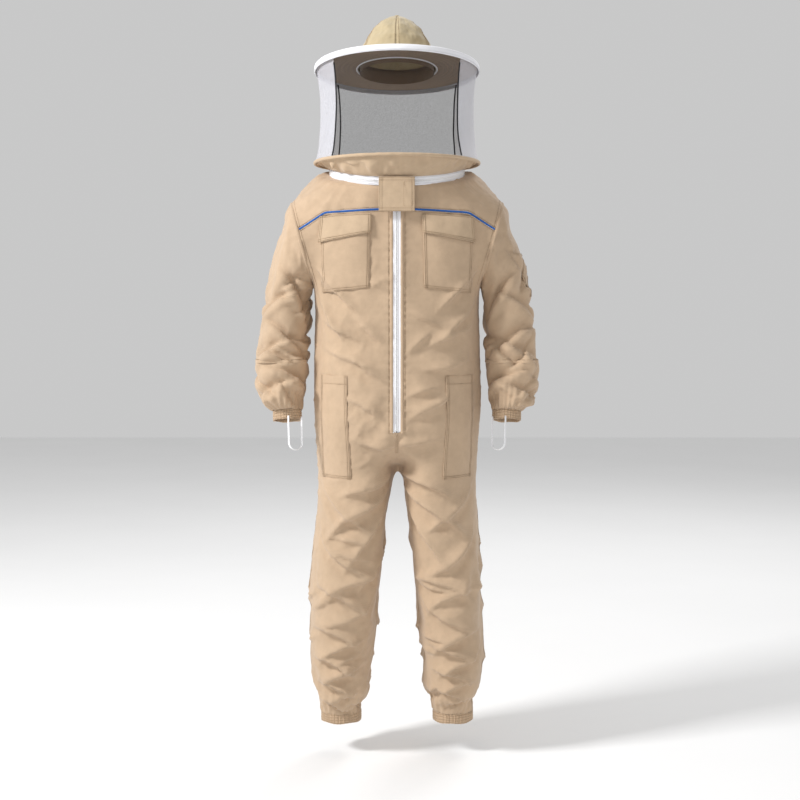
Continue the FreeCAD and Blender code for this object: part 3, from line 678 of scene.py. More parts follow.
def woven(name, colour, pitch=900.0, rough=0.86, wrinkle=1.0, sheen=0.2, vary=0.10, net=None):
    """Woven cloth: uneven dye, fine diagonal twill, small creases; net gives it holes."""
    m, nt, b = shader(name, rough, Sheen_Weight=sheen, Sheen_Roughness=0.5, Specular_IOR_Level=0.3)
    co = node(nt, "ShaderNodeTexCoord").outputs["Object"]
    big, mid = blur(nt, co, 7.0), blur(nt, co, 55.0, 5.0)
    turn = node(nt, "ShaderNodeMapping", [(co, "Vector")], in_Rotation=(0.5, 0.6, 0.8))
    rib = node(nt, "ShaderNodeTexWave", [(turn.outputs[0], "Vector")], in_Scale=pitch / 6.28,
               in_Distortion=1.5, in_Detail=2.0, in_Detail_Scale=2.0)
    tone = node(nt, "ShaderNodeMix", [(mid.outputs[0], 2), (big.outputs[0], 3)], data_type="FLOAT",
                in_Factor=0.5)
    tone2 = node(nt, "ShaderNodeMix", [(tone.outputs[0], 2), (rib.outputs["Fac"], 3)], data_type="FLOAT",
                 in_Factor=0.12)
    mix = node(nt, "ShaderNodeMix", data_type="RGBA")
    lift = ramp(nt, tone2.outputs[0], 0.3, 0.7, 0.0, 1.0)
    nt.links.new(lift.outputs[0], mix.inputs["Factor"])
    mix.inputs["A"].default_value = rgb(colour, 1 - vary)
    mix.inputs["B"].default_value = rgb(colour, 1 + vary)
    nt.links.new(mix.outputs["Result"], b.inputs["Base Color"])
    ridge = blur(nt, co, 16.0, 2.0, "RIDGED_MULTIFRACTAL", 0.5)
    soft = blur(nt, co, 60.0, 3.0)
    b1 = node(nt, "ShaderNodeBump", [(rib.outputs["Fac"], "Height")], in_Strength=0.35, in_Distance=0.0002)
    b2 = node(nt, "ShaderNodeBump", [(soft.outputs[0], "Height"), (b1.outputs[0], "Normal")],
              in_Strength=0.4 * wrinkle, in_Distance=0.002)
    b3 = node(nt, "ShaderNodeBump", [(ridge.outputs[0], "Height"), (b2.outputs[0], "Normal")],
              in_Strength=0.30 * wrinkle, in_Distance=0.004)
    nt.links.new(b3.outputs[0], b.inputs["Normal"])
    if net is not None:
        grid = node(nt, "ShaderNodeTexVoronoi", [(co, "Vector")], feature="DISTANCE_TO_EDGE", in_Scale=620.0)
        thread = ramp(nt, grid.outputs["Distance"], 0.0, 0.35, min(1.0, net * 1.9), net * 0.45)
        nt.links.new(thread.outputs[0], b.inputs["Alpha"])
        m.surface_render_method = "DITHERED"
    return m


def smooth_plastic(name, colour, rough=0.35):
    m, nt, b = shader(name, rough, Specular_IOR_Level=0.5)
    co = node(nt, "ShaderNodeTexCoord").outputs["Object"]
    grain = blur(nt, co, 400.0, 3.0)
    mix = node(nt, "ShaderNodeMix", [(grain.outputs[0], "Factor")], data_type="RGBA")
    mix.inputs["A"].default_value, mix.inputs["B"].default_value = rgb(colour, 0.93), rgb(colour, 1.04)
    nt.links.new(mix.outputs["Result"], b.inputs["Base Color"])
    bump = node(nt, "ShaderNodeBump", [(grain.outputs[0], "Height")], in_Strength=0.15, in_Distance=0.0002)
    nt.links.new(bump.outputs[0], b.inputs["Normal"])
    return m


def metal(name, colour):
    m, nt, b = shader(name, 0.3, Metallic=1.0)
    co = node(nt, "ShaderNodeTexCoord").outputs["Object"]
    scratch = blur(nt, co, 900.0, 4.0)
    r = ramp(nt, scratch.outputs[0], 0.3, 0.7, 0.22, 0.42)
    nt.links.new(r.outputs[0], b.inputs["Roughness"])
    mix = node(nt, "ShaderNodeMix", [(scratch.outputs[0], "Factor")], data_type="RGBA")
    mix.inputs["A"].default_value, mix.inputs["B"].default_value = rgb(colour, 0.85), rgb(colour, 1.05)
    nt.links.new(mix.outputs["Result"], b.inputs["Base Color"])
    return m


def linear(r, g, b):
    return tuple(((c / 255 + 0.055) / 1.055) ** 2.4 if c > 10 else c / 255 / 12.92 for c in (r, g, b))


KHAKI = woven("khaki_twill", linear(188, 163, 136))
KHAKI_FLAP = woven("khaki_flap", linear(192, 168, 140), wrinkle=1.3)
HAT = woven("hat_twill", linear(184, 168, 136), wrinkle=1.3)
# painted shade: the brim's underside and the sweatband beneath it get a darker khaki in place of the shadow under the
# brim
BRIM_UNDER_SHADE = woven("hat_lining", linear(128, 108, 88))
WHITE_TAPE = woven("white_tape", linear(238, 238, 242), pitch=1800.0, wrinkle=0.3, vary=0.03)
WHITE_LOOP = woven("white_elastic", linear(236, 236, 238), pitch=1400.0, wrinkle=0.4, vary=0.05)
BLUE = woven("blue_piping", linear(40, 92, 165), pitch=2200.0, wrinkle=0.5)
ELASTIC = woven("gathered_twill", linear(186, 160, 132), wrinkle=1.5)
THREAD = woven("khaki_thread", linear(172, 146, 118), pitch=3000.0, wrinkle=0.2)
BLACK_THREAD = woven("black_seam", linear(26, 26, 30), pitch=2000.0, wrinkle=0.4, vary=0.2)
BLACK_NET = woven("black_net", linear(24, 25, 28), wrinkle=0.5, vary=0.2, net=0.17)
WHITE_NET = woven("white_net", linear(220, 220, 228), wrinkle=0.5, vary=0.04, net=0.36)
VELCRO = woven("loop_tape", linear(176, 148, 118), pitch=2600.0, wrinkle=2.0)
COIL = smooth_plastic("nylon_coil", linear(246, 246, 247))
NICKEL = metal("nickel", linear(205, 205, 208))
STEEL = metal("spring_steel", linear(170, 170, 175))


# ---- tools for sewing things on --------------------------------------------------------------
def paint(ob, *mats):
    ob.data.materials.clear()
    for m in mats:
        ob.data.materials.append(m)
    return ob


def surface(*objects):
    """Search tree over the settled cloth of several objects."""
    verts, faces, base = [], [], 0
    for ob in objects:
        verts += [v.co.copy() for v in ob.data.vertices]
        faces += [tuple(i + base for i in p.vertices) for p in ob.data.polygons]
        base += len(ob.data.vertices)
    return BVHTree.FromPolygons(verts, faces)


def onto(tree, points, direction, off=0.0):
    """Points dropped along direction onto the cloth, then lifted off it; with their normals."""
    d = Vector(direction).normalized()
    out, nor = [], []
    for p in points:
        p = Vector(p)
        hit, n, _, _ = tree.ray_cast(p - d * 0.35, d, 0.7)
        if hit is None:
            hit, n, _, _ = tree.find_nearest(p)
        if n.dot(d) > 0:
            n = -n
        out.append(hit + n * off)
        nor.append(n)
    return np.array(out), np.array(nor)


def resample(points, step, closed=False):
    p = np.array(points, float)
    if closed:
        p = np.vstack([p, p[:1]])
    seg = np.linalg.norm(np.diff(p, axis=0), axis=1)
    s = np.concatenate([[0], np.cumsum(seg)])
    n = max(2, int(round(s[-1] / step)) + 1)
    q = np.linspace(0, s[-1], n)
    return np.stack([np.interp(q, s, p[:, k]) for k in range(p.shape[1])], 1)


def evened(values, times=2):
    v = np.array(values, float)
    for _ in range(times):
        v[1:-1] = (v[:-2] + 2 * v[1:-1] + v[2:]) / 4
    return v


def strip_data(path, normals, width, height, sides=8, closed=False):
    """A low rounded strip or cord along a path: verts and faces."""
    p, nor = np.array(path), np.array(normals)
    tan = np.roll(p, -1, 0) - np.roll(p, 1, 0) if closed else np.gradient(p, axis=0)
    tan /= np.maximum(np.linalg.norm(tan, axis=1, keepdims=True), 1e-9)
    side = np.cross(tan, nor)
    side /= np.maximum(np.linalg.norm(side, axis=1, keepdims=True), 1e-9)
    up = np.cross(side, tan)
    a = 2 * np.pi * np.arange(sides) / sides
    verts = (p[:, None] + side[:, None] * (np.cos(a) * width / 2)[None, :, None]
             + up[:, None] * (np.sin(a) * height / 2)[None, :, None])
    n = len(p)
    faces = []
    for i in range(n if closed else n - 1):
        j = (i + 1) % n
        for k in range(sides):
            m = (k + 1) % sides
            faces.append((i * sides + k, i * sides + m, j * sides + m, j * sides + k))
    if not closed:
        faces.append(tuple(range(sides)))
        faces.append(tuple((n - 1) * sides + k for k in reversed(range(sides))))
    return verts.reshape(-1, 3), faces


class Batch:
    """Collects many small pieces into one mesh."""

    def __init__(self):
        self.v, self.f, self.n = [], [], 0

    def add(self, verts, faces):
        self.v.append(np.asarray(verts))
        self.f += [tuple(i + self.n for i in f) for f in faces]
        self.n += len(verts)

    def build(self, name, mat):
        return paint(make(name, np.concatenate(self.v), self.f), mat)


def stitch(batch, path, normals, pitch=0.0040, length=0.0027, width=0.0009, height=0.0007):
    """A row of stitches: one small rounded thread after another."""
    fine = resample(np.hstack([path, normals]), pitch)
    p, nor = fine[:, :3], fine[:, 3:]
    for i in range(len(p) - 1):
        t = p[i + 1] - p[i]
        gap = np.linalg.norm(t)
        if gap < 1e-5:
            continue
        t /= gap
        u = nor[i] / np.linalg.norm(nor[i])
        s = np.cross(t, u) * width / 2
        c = (p[i] + p[i + 1]) / 2
        e = t * length / 2
        top = u * height
        v = [c - e - s, c - e + s, c + e + s, c + e - s, c - e * 0.7 + top, c + e * 0.7 + top]
        batch.add(v, [(0, 1, 4), (1, 2, 5, 4), (2, 3, 5), (3, 0, 4, 5)])


def patch(name, tree, outline, direction, off, cells, mat, thick=0.0016, puff=0.0, lift=None):
    """A sewn-on piece of cloth: a grid between four sides, dropped onto the garment."""
    nu, nv = cells
    a, b, c, d = [np.array(q, float) for q in outline]      # top left, top right, low right, low left
    pts = []
    for j in range(nv + 1):
        t = j / nv
        left, right = a + (d - a) * t, b + (c - b) * t
        for i in range(nu + 1):
            pts.append(left + (right - left) * (i / nu))
    p, nor = onto(tree, pts, direction)
    nor = nor.reshape(nv + 1, nu + 1, 3)
    for _ in range(3):
        nor[1:-1] = (nor[:-2] + 2 * nor[1:-1] + nor[2:]) / 4
        nor[:, 1:-1] = (nor[:, :-2] + 2 * nor[:, 1:-1] + nor[:, 2:]) / 4
    nor /= np.linalg.norm(nor, axis=2, keepdims=True)
    p = p.reshape(nv + 1, nu + 1, 3)
    flat = p.copy()
    for _ in range(12):
        flat[1:-1] = (flat[:-2] + 2 * flat[1:-1] + flat[2:]) / 4
        flat[:, 1:-1] = (flat[:, :-2] + 2 * flat[:, 1:-1] + flat[:, 2:]) / 4
    out_by = np.maximum(((flat - p) * nor).sum(2), -0.0012)
    p = p + nor * out_by[..., None]
    u = np.linspace(0, 1, nu + 1)[None, :]
    v = np.linspace(0, 1, nv + 1)[:, None]
    high = off + puff * (np.sin(np.pi * u) * np.sin(np.pi * v)) ** 0.7
    if lift is not None:
        high = high + lift(u, v)
    out = p + nor * high[..., None]
    wob = np.array([noise.noise(Vector(q) * 30.0) for q in out.reshape(-1, 3)]).reshape(nv + 1, nu + 1)
    out += nor * (wob * 0.0012 * (puff > 0))[..., None]
    k = nu + 1
    faces = [(j * k + i, j * k + i + 1, (j + 1) * k + i + 1, (j + 1) * k + i)
             for j in range(nv) for i in range(nu)]
    ob = paint(make(name, out.reshape(-1, 3), faces), mat)
    me = ob.data
    if np.dot(np.array(me.polygons[0].normal), nor[0, 0]) < 0:
        me.flip_normals()
    m = ob.modifiers.new("s", "SOLIDIFY")
    m.thickness, m.offset = thick, -1.0
    m = ob.modifiers.new("b", "BEVEL")
    m.width, m.segments, m.limit_method = 0.0006, 2, "ANGLE"
    evaluated(ob)
    ob.data.polygons.foreach_set("use_smooth", [True] * len(ob.data.polygons))
    return ob, out, nor


def edge_rows(batch, grid, nor, inset, sides="lrb", off=0.0003):
    """Stitches along the sides of a patch grid, inset by a share of its cells."""
    def line(path, n):
        stitch(batch, path + n * off, n)
    nv, nu = grid.shape[:2]
    iu, iv = inset
    f = lambda arr, pos: arr[int(pos)] * (1 - pos % 1) + arr[min(int(pos) + 1, len(arr) - 1)] * (pos % 1)
    if "l" in sides:
        line(np.array([f(grid[j], iu) for j in range(nv)]), np.array([f(nor[j], iu) for j in range(nv)]))
    if "r" in sides:
        line(np.array([f(grid[j][::-1], iu) for j in range(nv)]),
             np.array([f(nor[j][::-1], iu) for j in range(nv)]))
    if "b" in sides:
        line(f(grid[::-1], iv), f(nor[::-1], iv))
    if "t" in sides:
        line(f(grid, iv), f(nor, iv))


# ---- settled cloth into pieces ---------------------------------------------------------------
def finer(ob, passes):
    """Evens the settled cloth and divides it once."""
    bm = bmesh.new()
    bm.from_mesh(ob.data)
    inner = [v for v in bm.verts if not v.is_boundary]
    for _ in range(passes):
        bmesh.ops.smooth_vert(bm, verts=inner, factor=0.5, use_axis_x=True, use_axis_y=True, use_axis_z=True)
    bm.to_mesh(ob.data)
    bm.free()
    m = ob.modifiers.new("s", "SUBSURF")
    m.levels = m.render_levels = 1
    return evaluated(ob)


def creased(ob, strength=1.0, gathers=(), zip_side=False):
    """Small hard creases all over, puckers beside the zip and gathers above the elasticated ends."""
    co, nor = coords(ob), normals(ob)
    push = np.zeros(len(co))
    for i, p in enumerate(co):
        q = Vector(p)
        where = 0.35 + max(0.0, noise.noise(q * 4.0 + Vector((5, 1, 7)))) * 1.6
        ridge = (1 - abs(noise.noise(Vector((p[0] * 15, p[1] * 15, p[2] * 24))) * 2)) ** 3
        small = (1 - abs(noise.noise(Vector((p[0] * 38, p[1] * 38, p[2] * 60)) + Vector((9, 2, 4))) * 2)) ** 3
        push[i] = where * (0.0027 * ridge + 0.0011 * small) - 0.0009
    push *= strength
    if zip_side:
        near = np.exp(-np.maximum(np.abs(co[:, 0]) - 0.012, 0) / 0.020) * (co[:, 1] < -0.09)
        near *= (co[:, 2] > -0.66) & (co[:, 2] < -0.10) & (np.abs(co[:, 0]) > 0.011)
        wave = np.sin(co[:, 2] * 2 * np.pi / 0.021 + 2.5 * np.sin(co[:, 2] * 37) + np.sign(co[:, 0]))
        push += 0.0009 * near * wave
    for centre, direction, reach, lobes in gathers:
        d = co - centre
        s = -(d @ direction)
        side = d + np.outer(s, direction)
        a = unit(np.cross(direction, Y)) if abs(direction @ Y) < 0.9 else unit(np.cross(direction, X))
        b = np.cross(direction, a)
        turn = np.arctan2(side @ b, side @ a)
        close = (np.linalg.norm(side, axis=1) < 0.11) & (s > -0.002) & (s < 0.2)
        fade = np.exp(-np.maximum(s, 0) / reach) * (1 - np.exp(-np.maximum(s, 0) / 0.004)) * close
        push += 0.0030 * fade * np.cos(lobes * turn + 1.6 * np.sin(4 * turn) + s * 30)
    put(ob, co + nor * push[:, None])


def vectors(ob, name):
    out = np.zeros(len(ob.data.vertices) * 3)
    ob.data.attributes[name].data.foreach_get("vector", out)
    return out.reshape(-1, 3)


def take(ob, keep, name, mat):
    """The faces that keep chooses, as their own object with the whole cloth's shading."""
    me = ob.data
    used = sorted({v for p in me.polygons if keep[p.index] for v in p.vertices})
    index = {v: i for i, v in enumerate(used)}
    co, nor = coords(ob), normals(ob)
    new = make(name, co[used], [tuple(index[v] for v in p.vertices) for p in me.polygons if keep[p.index]])
    paint(new, mat)
    new.data.normals_split_custom_set_from_vertices([tuple(nor[v]) for v in used])
    return new


def ribbon(name, tree, points, direction, width, height, mat, step=0.004, off=0.0, even=2, sides=8):
    p, n = onto(tree, resample(points, step), direction)
    p, n = evened(p, even), evened(n, 4)
    n /= np.linalg.norm(n, axis=1, keepdims=True)
    p = p + n * off
    return paint(make(name, *strip_data(p, n, width, height, sides)), mat), p, n


def beside(p, n, by):
    t = np.gradient(p, axis=0)
    s = np.cross(t, n)
    return p + s / np.maximum(np.linalg.norm(s, axis=1, keepdims=True), 1e-9) * by


def on_torso(ob, side):
    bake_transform(ob)
    return ob


def on_leg(ob, side):
    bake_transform(ob)
    return ob


def on_arm(ob):
    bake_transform(ob)
    return ob


def slotted(ob):
    return ob


def dress_coverall(cover, sleeves):
    """Splits the coverall at its middle and thighs into torso and leg pieces, and finishes the sleeves."""
    finer(cover, 1)
    crisp = fold_shift(vectors(cover, "rest_co"), normals(cover), vectors(cover, "free")[:, 0], 0.5)
    put(cover, coords(cover) + crisp * 0.35)
    creased(cover, 1.0, [(ANKLE * (s, 1, 1) * MM, -Z, 0.035, 26) for s in (1, -1)], True)
    rest = vectors(cover, "rest_co")
    centre = np.array([rest[list(p.vertices)].mean(0) for p in cover.data.polygons])
    parts = {}
    for side, s in (("left", 1), ("right", -1)):
        high = (centre[:, 0] * s > 0) & (centre[:, 2] > THIGH_CUT)
        low = (centre[:, 0] * s > 0) & (centre[:, 2] <= THIGH_CUT)
        torso = take(cover, high, "torso_cloth_" + side, KHAKI)
        leg = take(cover, low, "leg_cloth_" + side, KHAKI)
        on_torso(slotted(torso), side)
        on_leg(slotted(leg), side)
        nodes = ["leg_thigh_" + side, "front_panel_" + side, "front_yoke_" + side]
        if side == "left":
            nodes += ["back_panel", "back_yoke"]
        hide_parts(*nodes)
        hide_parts("leg_knee_" + side, "leg_shin_" + side)
        parts["torso_" + side], parts["leg_" + side] = torso, leg
        arm = finer(sleeves[side], 1)
        start, flip = vectors(arm, "rest_co"), np.array([s, 1, 1])
        soft = np.clip((start - ARM_C * flip * MM) @ (ARM_N * flip) / 0.05, 0, 1)
        soft *= np.clip((CUFF_AT * flip * MM - start) @ (CUFF_DIR * flip) / 0.04, 0, 1)
        bent = pressed(start, normals(arm), sleeve_middle(s), 0.085, arm_folds(s), 0.5) - start
        put(arm, coords(arm) + bent * soft[:, None] * 0.35)
        creased(arm, 1.2, [(CUFF_AT * (s, 1, 1) * MM, CUFF_DIR * (s, 1, 1), 0.032, 22)])
        paint(arm, KHAKI)
        arm.data.polygons.foreach_set("use_smooth", [True] * len(arm.data.polygons))
        arm.name = "sleeve_cloth_" + side
        on_arm(slotted(arm))
        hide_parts("sleeve_upper_" + side, "sleeve_elbow_" + side, "sleeve_forearm_" + side)
        parts["arm_" + side] = arm
    return parts


def seams(parts):
    """Shoulder piping, armhole ridges, fell seams and their stitching."""
    suit = surface(parts["torso_left"], parts["torso_right"])
    thread = Batch()
    blue_v = Batch()
    white_v = Batch()
    for back in (False, True):
        for s in (1, -1):
            d = (0, -1, 0) if back else (0, 1, 0)
            y = 0.12 if back else -0.16
            inner = 0.0 if back else 0.020
            line = [(s * inner, y, -0.105 if not back else -0.112), (s * 0.172, y, -0.1115), (s * 0.236, y * 0.8, -0.150)]
            p, n = onto(suit, resample(line, 0.004), d)
            p, n = evened(p, 3), evened(n, 4)
            n /= np.linalg.norm(n, axis=1, keepdims=True)
            white_v.add(*strip_data(p - n * 0.0004, n, 0.0066, 0.0014))
            blue_v.add(*strip_data(p + n * 0.0005, n, 0.0050, 0.0026))
            for by in (0.0052, -0.0052):
                stitch(thread, beside(p, n, by) + n * 0.0002, n)
    white = white_v.build("piping_edge", WHITE_TAPE)
    blue = blue_v.build("piping_cord", BLUE)
    for ob, slot in ((white, "white_trim"), (blue, "blue_piping")):
        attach(ob, "suit")
    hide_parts("yoke_piping")
    for side, s in (("left", 1), ("right", -1)):
        # armhole: a ridge on the shoulder side and stitches beside it
        t = 2 * np.pi * np.arange(160) / 160
        up = np.cross(Y, ARM_N * (s, 1, 1))
        c, n = ARM_C * (s, 1, 1) * MM, ARM_N * (s, 1, 1)
        out = np.outer(np.cos(t), Y) + np.outer(np.sin(t), up)
        circle = c + out * ARM_R * MM - n * 0.0015
        seam = paint(make("armhole_seam_" + side, *strip_data(circle, out, 0.0075, 0.0034, 10, True)), KHAKI)
        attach(slotted(seam), "suit")
        ring_path = np.vstack([circle, circle[:1]]) - n * 0.008
        p, nn = [], []
        for q, o in zip(ring_path, np.vstack([out, out[:1]])):
            hit = suit.ray_cast(Vector(q + o * 0.06), Vector(-o), 0.12)
            if hit[0] is not None:
                p.append(hit[0])
                nn.append(o)
        if len(p) > 20:
            stitch(thread, evened(p, 2) + np.array(nn) * 0.0002, np.array(nn))
        # side seams down the trunk and thigh, inseams and outseams down the leg
        for z0, z1, name in ((-0.30, THIGH_CUT, "side_seam_"), (THIGH_CUT, -1.352, "outseam_")):
            tree = surface(parts["torso_" + side], parts["leg_" + side])
            zs = np.arange(z0 + 0.006 * (name == "outseam_"), z1, -0.006)
            q = [(s * 0.17, 0.004, z) for z in zs] + [(s * 0.17, 0.004, z1)]
            p, nn = onto(tree, [(s * 0.15, y, z) for _, y, z in q], (-s, 0, 0))
            p, nn = evened(p, 2), evened(nn, 3)
            nn /= np.linalg.norm(nn, axis=1, keepdims=True)
            ob = paint(make(name + side, *strip_data(p, nn, 0.009, 0.0022, 8)), KHAKI)
            rows = Batch()
            for by in (0.0022, -0.0022):
                stitch(rows, beside(p, nn, by) + nn * 0.0011, nn)
            st = rows.build(name + "stitches_" + side, THREAD)
            for o in (ob, st):
                slotted(o)
                (on_torso if name == "side_seam_" else on_leg)(o, side)
        tree = surface(parts["torso_" + side], parts["leg_" + side])
        q = [(s * 0.10, 0.0, z) for z in np.arange(THIGH_CUT, -1.352, -0.006)] + [(s * 0.10, 0.0, -1.352)]
        p, nn = onto(tree, [(s * 0.13, y, z) for _, y, z in q], (s, 0, 0))
        p, nn = evened(p, 2), evened(nn, 3)
        nn /= np.linalg.norm(nn, axis=1, keepdims=True)
        ob = paint(make("inseam_" + side, *strip_data(p, nn, 0.009, 0.0022, 8)), KHAKI)
        on_leg(slotted(ob), side)
        # forearm seam across the sleeve
        arm = surface(parts["arm_" + side])
        mid = sleeve_middle(s)
        c = np.array([np.interp(-0.470, mid[::-1, 2], mid[::-1, k]) for k in range(3)])
        t = 2 * np.pi * np.arange(96) / 96
        p, nn = [], []
        for a in t:
            d = Vector((math.cos(a), math.sin(a), 0))
            hit = arm.ray_cast(Vector(c), d, 0.2)
            if hit[0] is not None:
                p.append(hit[0])
                nn.append(d)
        p, nn = np.array(p), np.array(nn)
        ob = paint(make("forearm_seam_" + side, *strip_data(p, nn, 0.008, 0.0020, 8, True)), KHAKI)
        rows = Batch()
        stitch(rows, np.vstack([p, p[:1]]) + (0, 0, 0.005), np.vstack([nn, nn[:1]]))
        st = rows.build("forearm_stitches_" + side, THREAD)
        for o in (ob, st):
            on_arm(slotted(o))
    st = thread.build("yoke_stitches", THREAD)
    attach(slotted(st), "suit")
    # crotch and centre seams, below the zip in front and all the way up the back
    for side, s in (("left", 1),):
        line = [(0.0, -0.16, z) for z in np.arange(-0.640, -0.690, -0.004)]
        ob, p, nn = ribbon("fly_seam", suit, line, (0, 1, 0), 0.008, 0.002, KHAKI, 0.004)
        rows = Batch()
        for by in (0.002, -0.002):
            stitch(rows, beside(p, nn, by) + nn * 0.001, nn)
        line = [(0.0, 0.16, z) for z in np.arange(-0.115, -0.690, -0.006)]
        ob2, p, nn = ribbon("back_seam", suit, line, (0, -1, 0), 0.008, 0.002, KHAKI, 0.005)
        for by in (0.002, -0.002):
            stitch(rows, beside(p, nn, by) + nn * 0.001, nn)
        st = rows.build("centre_stitches", THREAD)
        for o in (ob, ob2, st):
            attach(slotted(o), "suit")
    return suit


def pockets(parts):
    for side, s in (("left", 1), ("right", -1)):
        y = -0.165
        box = [(s * 0.062, y, -0.126), (s * 0.183, y, -0.128), (s * 0.179, y, -0.303), (s * 0.065, y, -0.292)]
        tree = surface(parts["torso_" + side])
        ob, g, n = patch("chest_pocket_cloth_" + side, tree, box, (0, 1, 0), 0.0022, (26, 34), KHAKI, puff=0.004)
        st = Batch()
        edge_rows(st, g, n, (0.6, 0.4), "lrb")
        edge_rows(st, g, n, (1.5, 1.3), "lrb")
        row = st.build("chest_pocket_stitches_" + side, THREAD)
        for o in (ob, row):
            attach(slotted(o), "suit")
        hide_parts("chest_pocket_" + side)
        box = [(s * 0.060, y, -0.1165), (s * 0.183, y, -0.1205), (s * 0.187, y, -0.183), (s * 0.062, y, -0.161)]
        ob, g, n = patch("pocket_flap_cloth_" + side, surface(parts["torso_" + side], ob), box, (0, 1, 0),
                         0.0042, (28, 14), KHAKI_FLAP, thick=0.0022, puff=0.0012,
                         lift=lambda u, v: 0.0030 * v * np.abs(2 * u - 1) ** 2)
        st = Batch()
        edge_rows(st, g, n, (0.5, 0.5), "lrbt")
        edge_rows(st, g, n, (1.5, 1.5), "lrb")
        row = st.build("pocket_flap_stitches_" + side, THREAD)
        for o in (ob, row):
            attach(slotted(o), "pocket_flap_" + side)
        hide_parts("chest_flap_" + side)
        # hip pocket: straight top hem in front, wraps towards the side seam
        box = [(s * 0.128, -0.16, -0.502), (s * 0.196, -0.10, -0.502), (s * 0.196, -0.10, -0.752),
               (s * 0.128, -0.16, -0.754)]
        ob, g, n = patch("hip_pocket_cloth_" + side, tree, box, (-s * 0.45, 1, 0), 0.0020, (16, 50), KHAKI,
                         puff=0.003)
        st = Batch()
        edge_rows(st, g, n, (0.5, 0.5), "lrb")
        edge_rows(st, g, n, (1.3, 1.3), "lrb")
        edge_rows(st, g, n, (0.5, 4.0), "t")
        row = st.build("hip_pocket_stitches_" + side, THREAD)
        for o in (ob, row):
            on_torso(slotted(o), side)
        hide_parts("hip_pocket_" + side)
    tree = surface(parts["arm_left"])
    box = [(0.40, -0.040, -0.205), (0.40, 0.016, -0.205), (0.40, 0.014, -0.311), (0.40, -0.042, -0.311)]
    ob, g, n = patch("pen_pocket_cloth", tree, box, (-1, 0, 0), 0.0020, (12, 24), KHAKI, puff=0.0015)
    st = Batch()
    edge_rows(st, g, n, (0.5, 0.5), "lrb")
    mid = g.shape[1] // 2
    stitch(st, g[:, mid] + n[:, mid] * 0.0004, n[:, mid])
    row = st.build("pen_pocket_stitches", THREAD)
    for o in (ob, row):
        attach(slotted(o), "sleeve_left")
    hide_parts("pen_pocket")


# ---- zips, flap, cuffs, hems -----------------------------------------------------------------
def ring_at(turn, r, h):
    """A point on the neck ring: turn from the throat towards the wearer's left, millimetres out and up."""
    return RING_C + (X * math.sin(turn) - RING_V * math.cos(turn)) * r * MM + RING_N * h * MM


def teeth(batch, p, along, out, across, size):
    """One coil loop: a small bevelled bar."""
    a, o, c = along * size[0] / 2, out * size[1], across * size[2] / 2
    low = [p - a - c, p + a - c, p + a + c, p - a + c]
    top = [q * 0.55 + p * 0.45 + o for q in low]
    mid = [q + o * 0.6 for q in low]
    batch.add(low + mid + top, [(0, 1, 5, 4), (1, 2, 6, 5), (2, 3, 7, 6), (3, 0, 4, 7), (4, 5, 9, 8),
                                (5, 6, 10, 9), (6, 7, 11, 10), (7, 4, 8, 11), (8, 9, 10, 11)])


def grid_mesh(name, grid, mat, thick=0.0, closed=False, offset=0.0):
    g = np.array(grid)
    rows, n = g.shape[:2]
    ob = paint(make(name, g.reshape(-1, 3), tube_faces(rows, n, closed)), mat)
    if thick:
        m = ob.modifiers.new("s", "SOLIDIFY")
        m.thickness, m.offset = thick, offset
        evaluated(ob)
        ob.data.polygons.foreach_set("use_smooth", [True] * len(ob.data.polygons))
    return ob


def front_zip(suit):
    zs = np.arange(-0.062, -0.6405, -0.004)
    thread = Batch()
    for side, s in (("left", 1), ("right", -1)):
        rows = []
        for z in zs:
            ripple = 0.0002 * noise.noise(Vector((s * 3.0, 0, z * 70)))
            rows.append([(s * x * MM, (y - 158.0) * MM + ripple * (x > 5), z)
                         for x, y in ((0.9, 1.5), (3.0, 1.3), (6.0, 0.9), (9.0, 0.6), (11.5, 1.4), (15.0, 2.2))])
        tape = grid_mesh("zip_tape_cloth_" + side, rows, WHITE_TAPE, 0.0007)
        coil = Batch()
        for z in np.arange(-0.066, -0.634, -0.0015):
            teeth(coil, np.array([s * 0.0018, -0.1566, z + 0.00035 * s]), Z, -Y, X, (0.0011, 0.0017, 0.0034))
        coil = coil.build("zip_coil_" + side, COIL)
        line = [(s * 0.0125, -0.2, z) for z in zs]
        p, n = onto(suit, line, (0, 1, 0))
        p, n = evened(p, 2), evened(n, 6)
        n /= np.linalg.norm(n, axis=1, keepdims=True)
        edge = paint(make("placket_" + side, *strip_data(p + n * 0.0004, n, 0.0070, 0.0034, 10)), KHAKI)
        line = [(s * 0.0195, -0.2, z) for z in zs]
        p, n = onto(suit, line, (0, 1, 0))
        stitch(thread, evened(p, 2) + n * 0.0002, evened(n, 3))
        for o, slot in ((tape, "white_trim"), (coil, "white_zip"), (edge, "khaki")):
            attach(slotted(o), "suit")
        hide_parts("front_zip_tape_" + side)
        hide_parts("front_zip_coil_" + side)
    st = thread.build("placket_stitches", THREAD)
    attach(slotted(st), "suit")


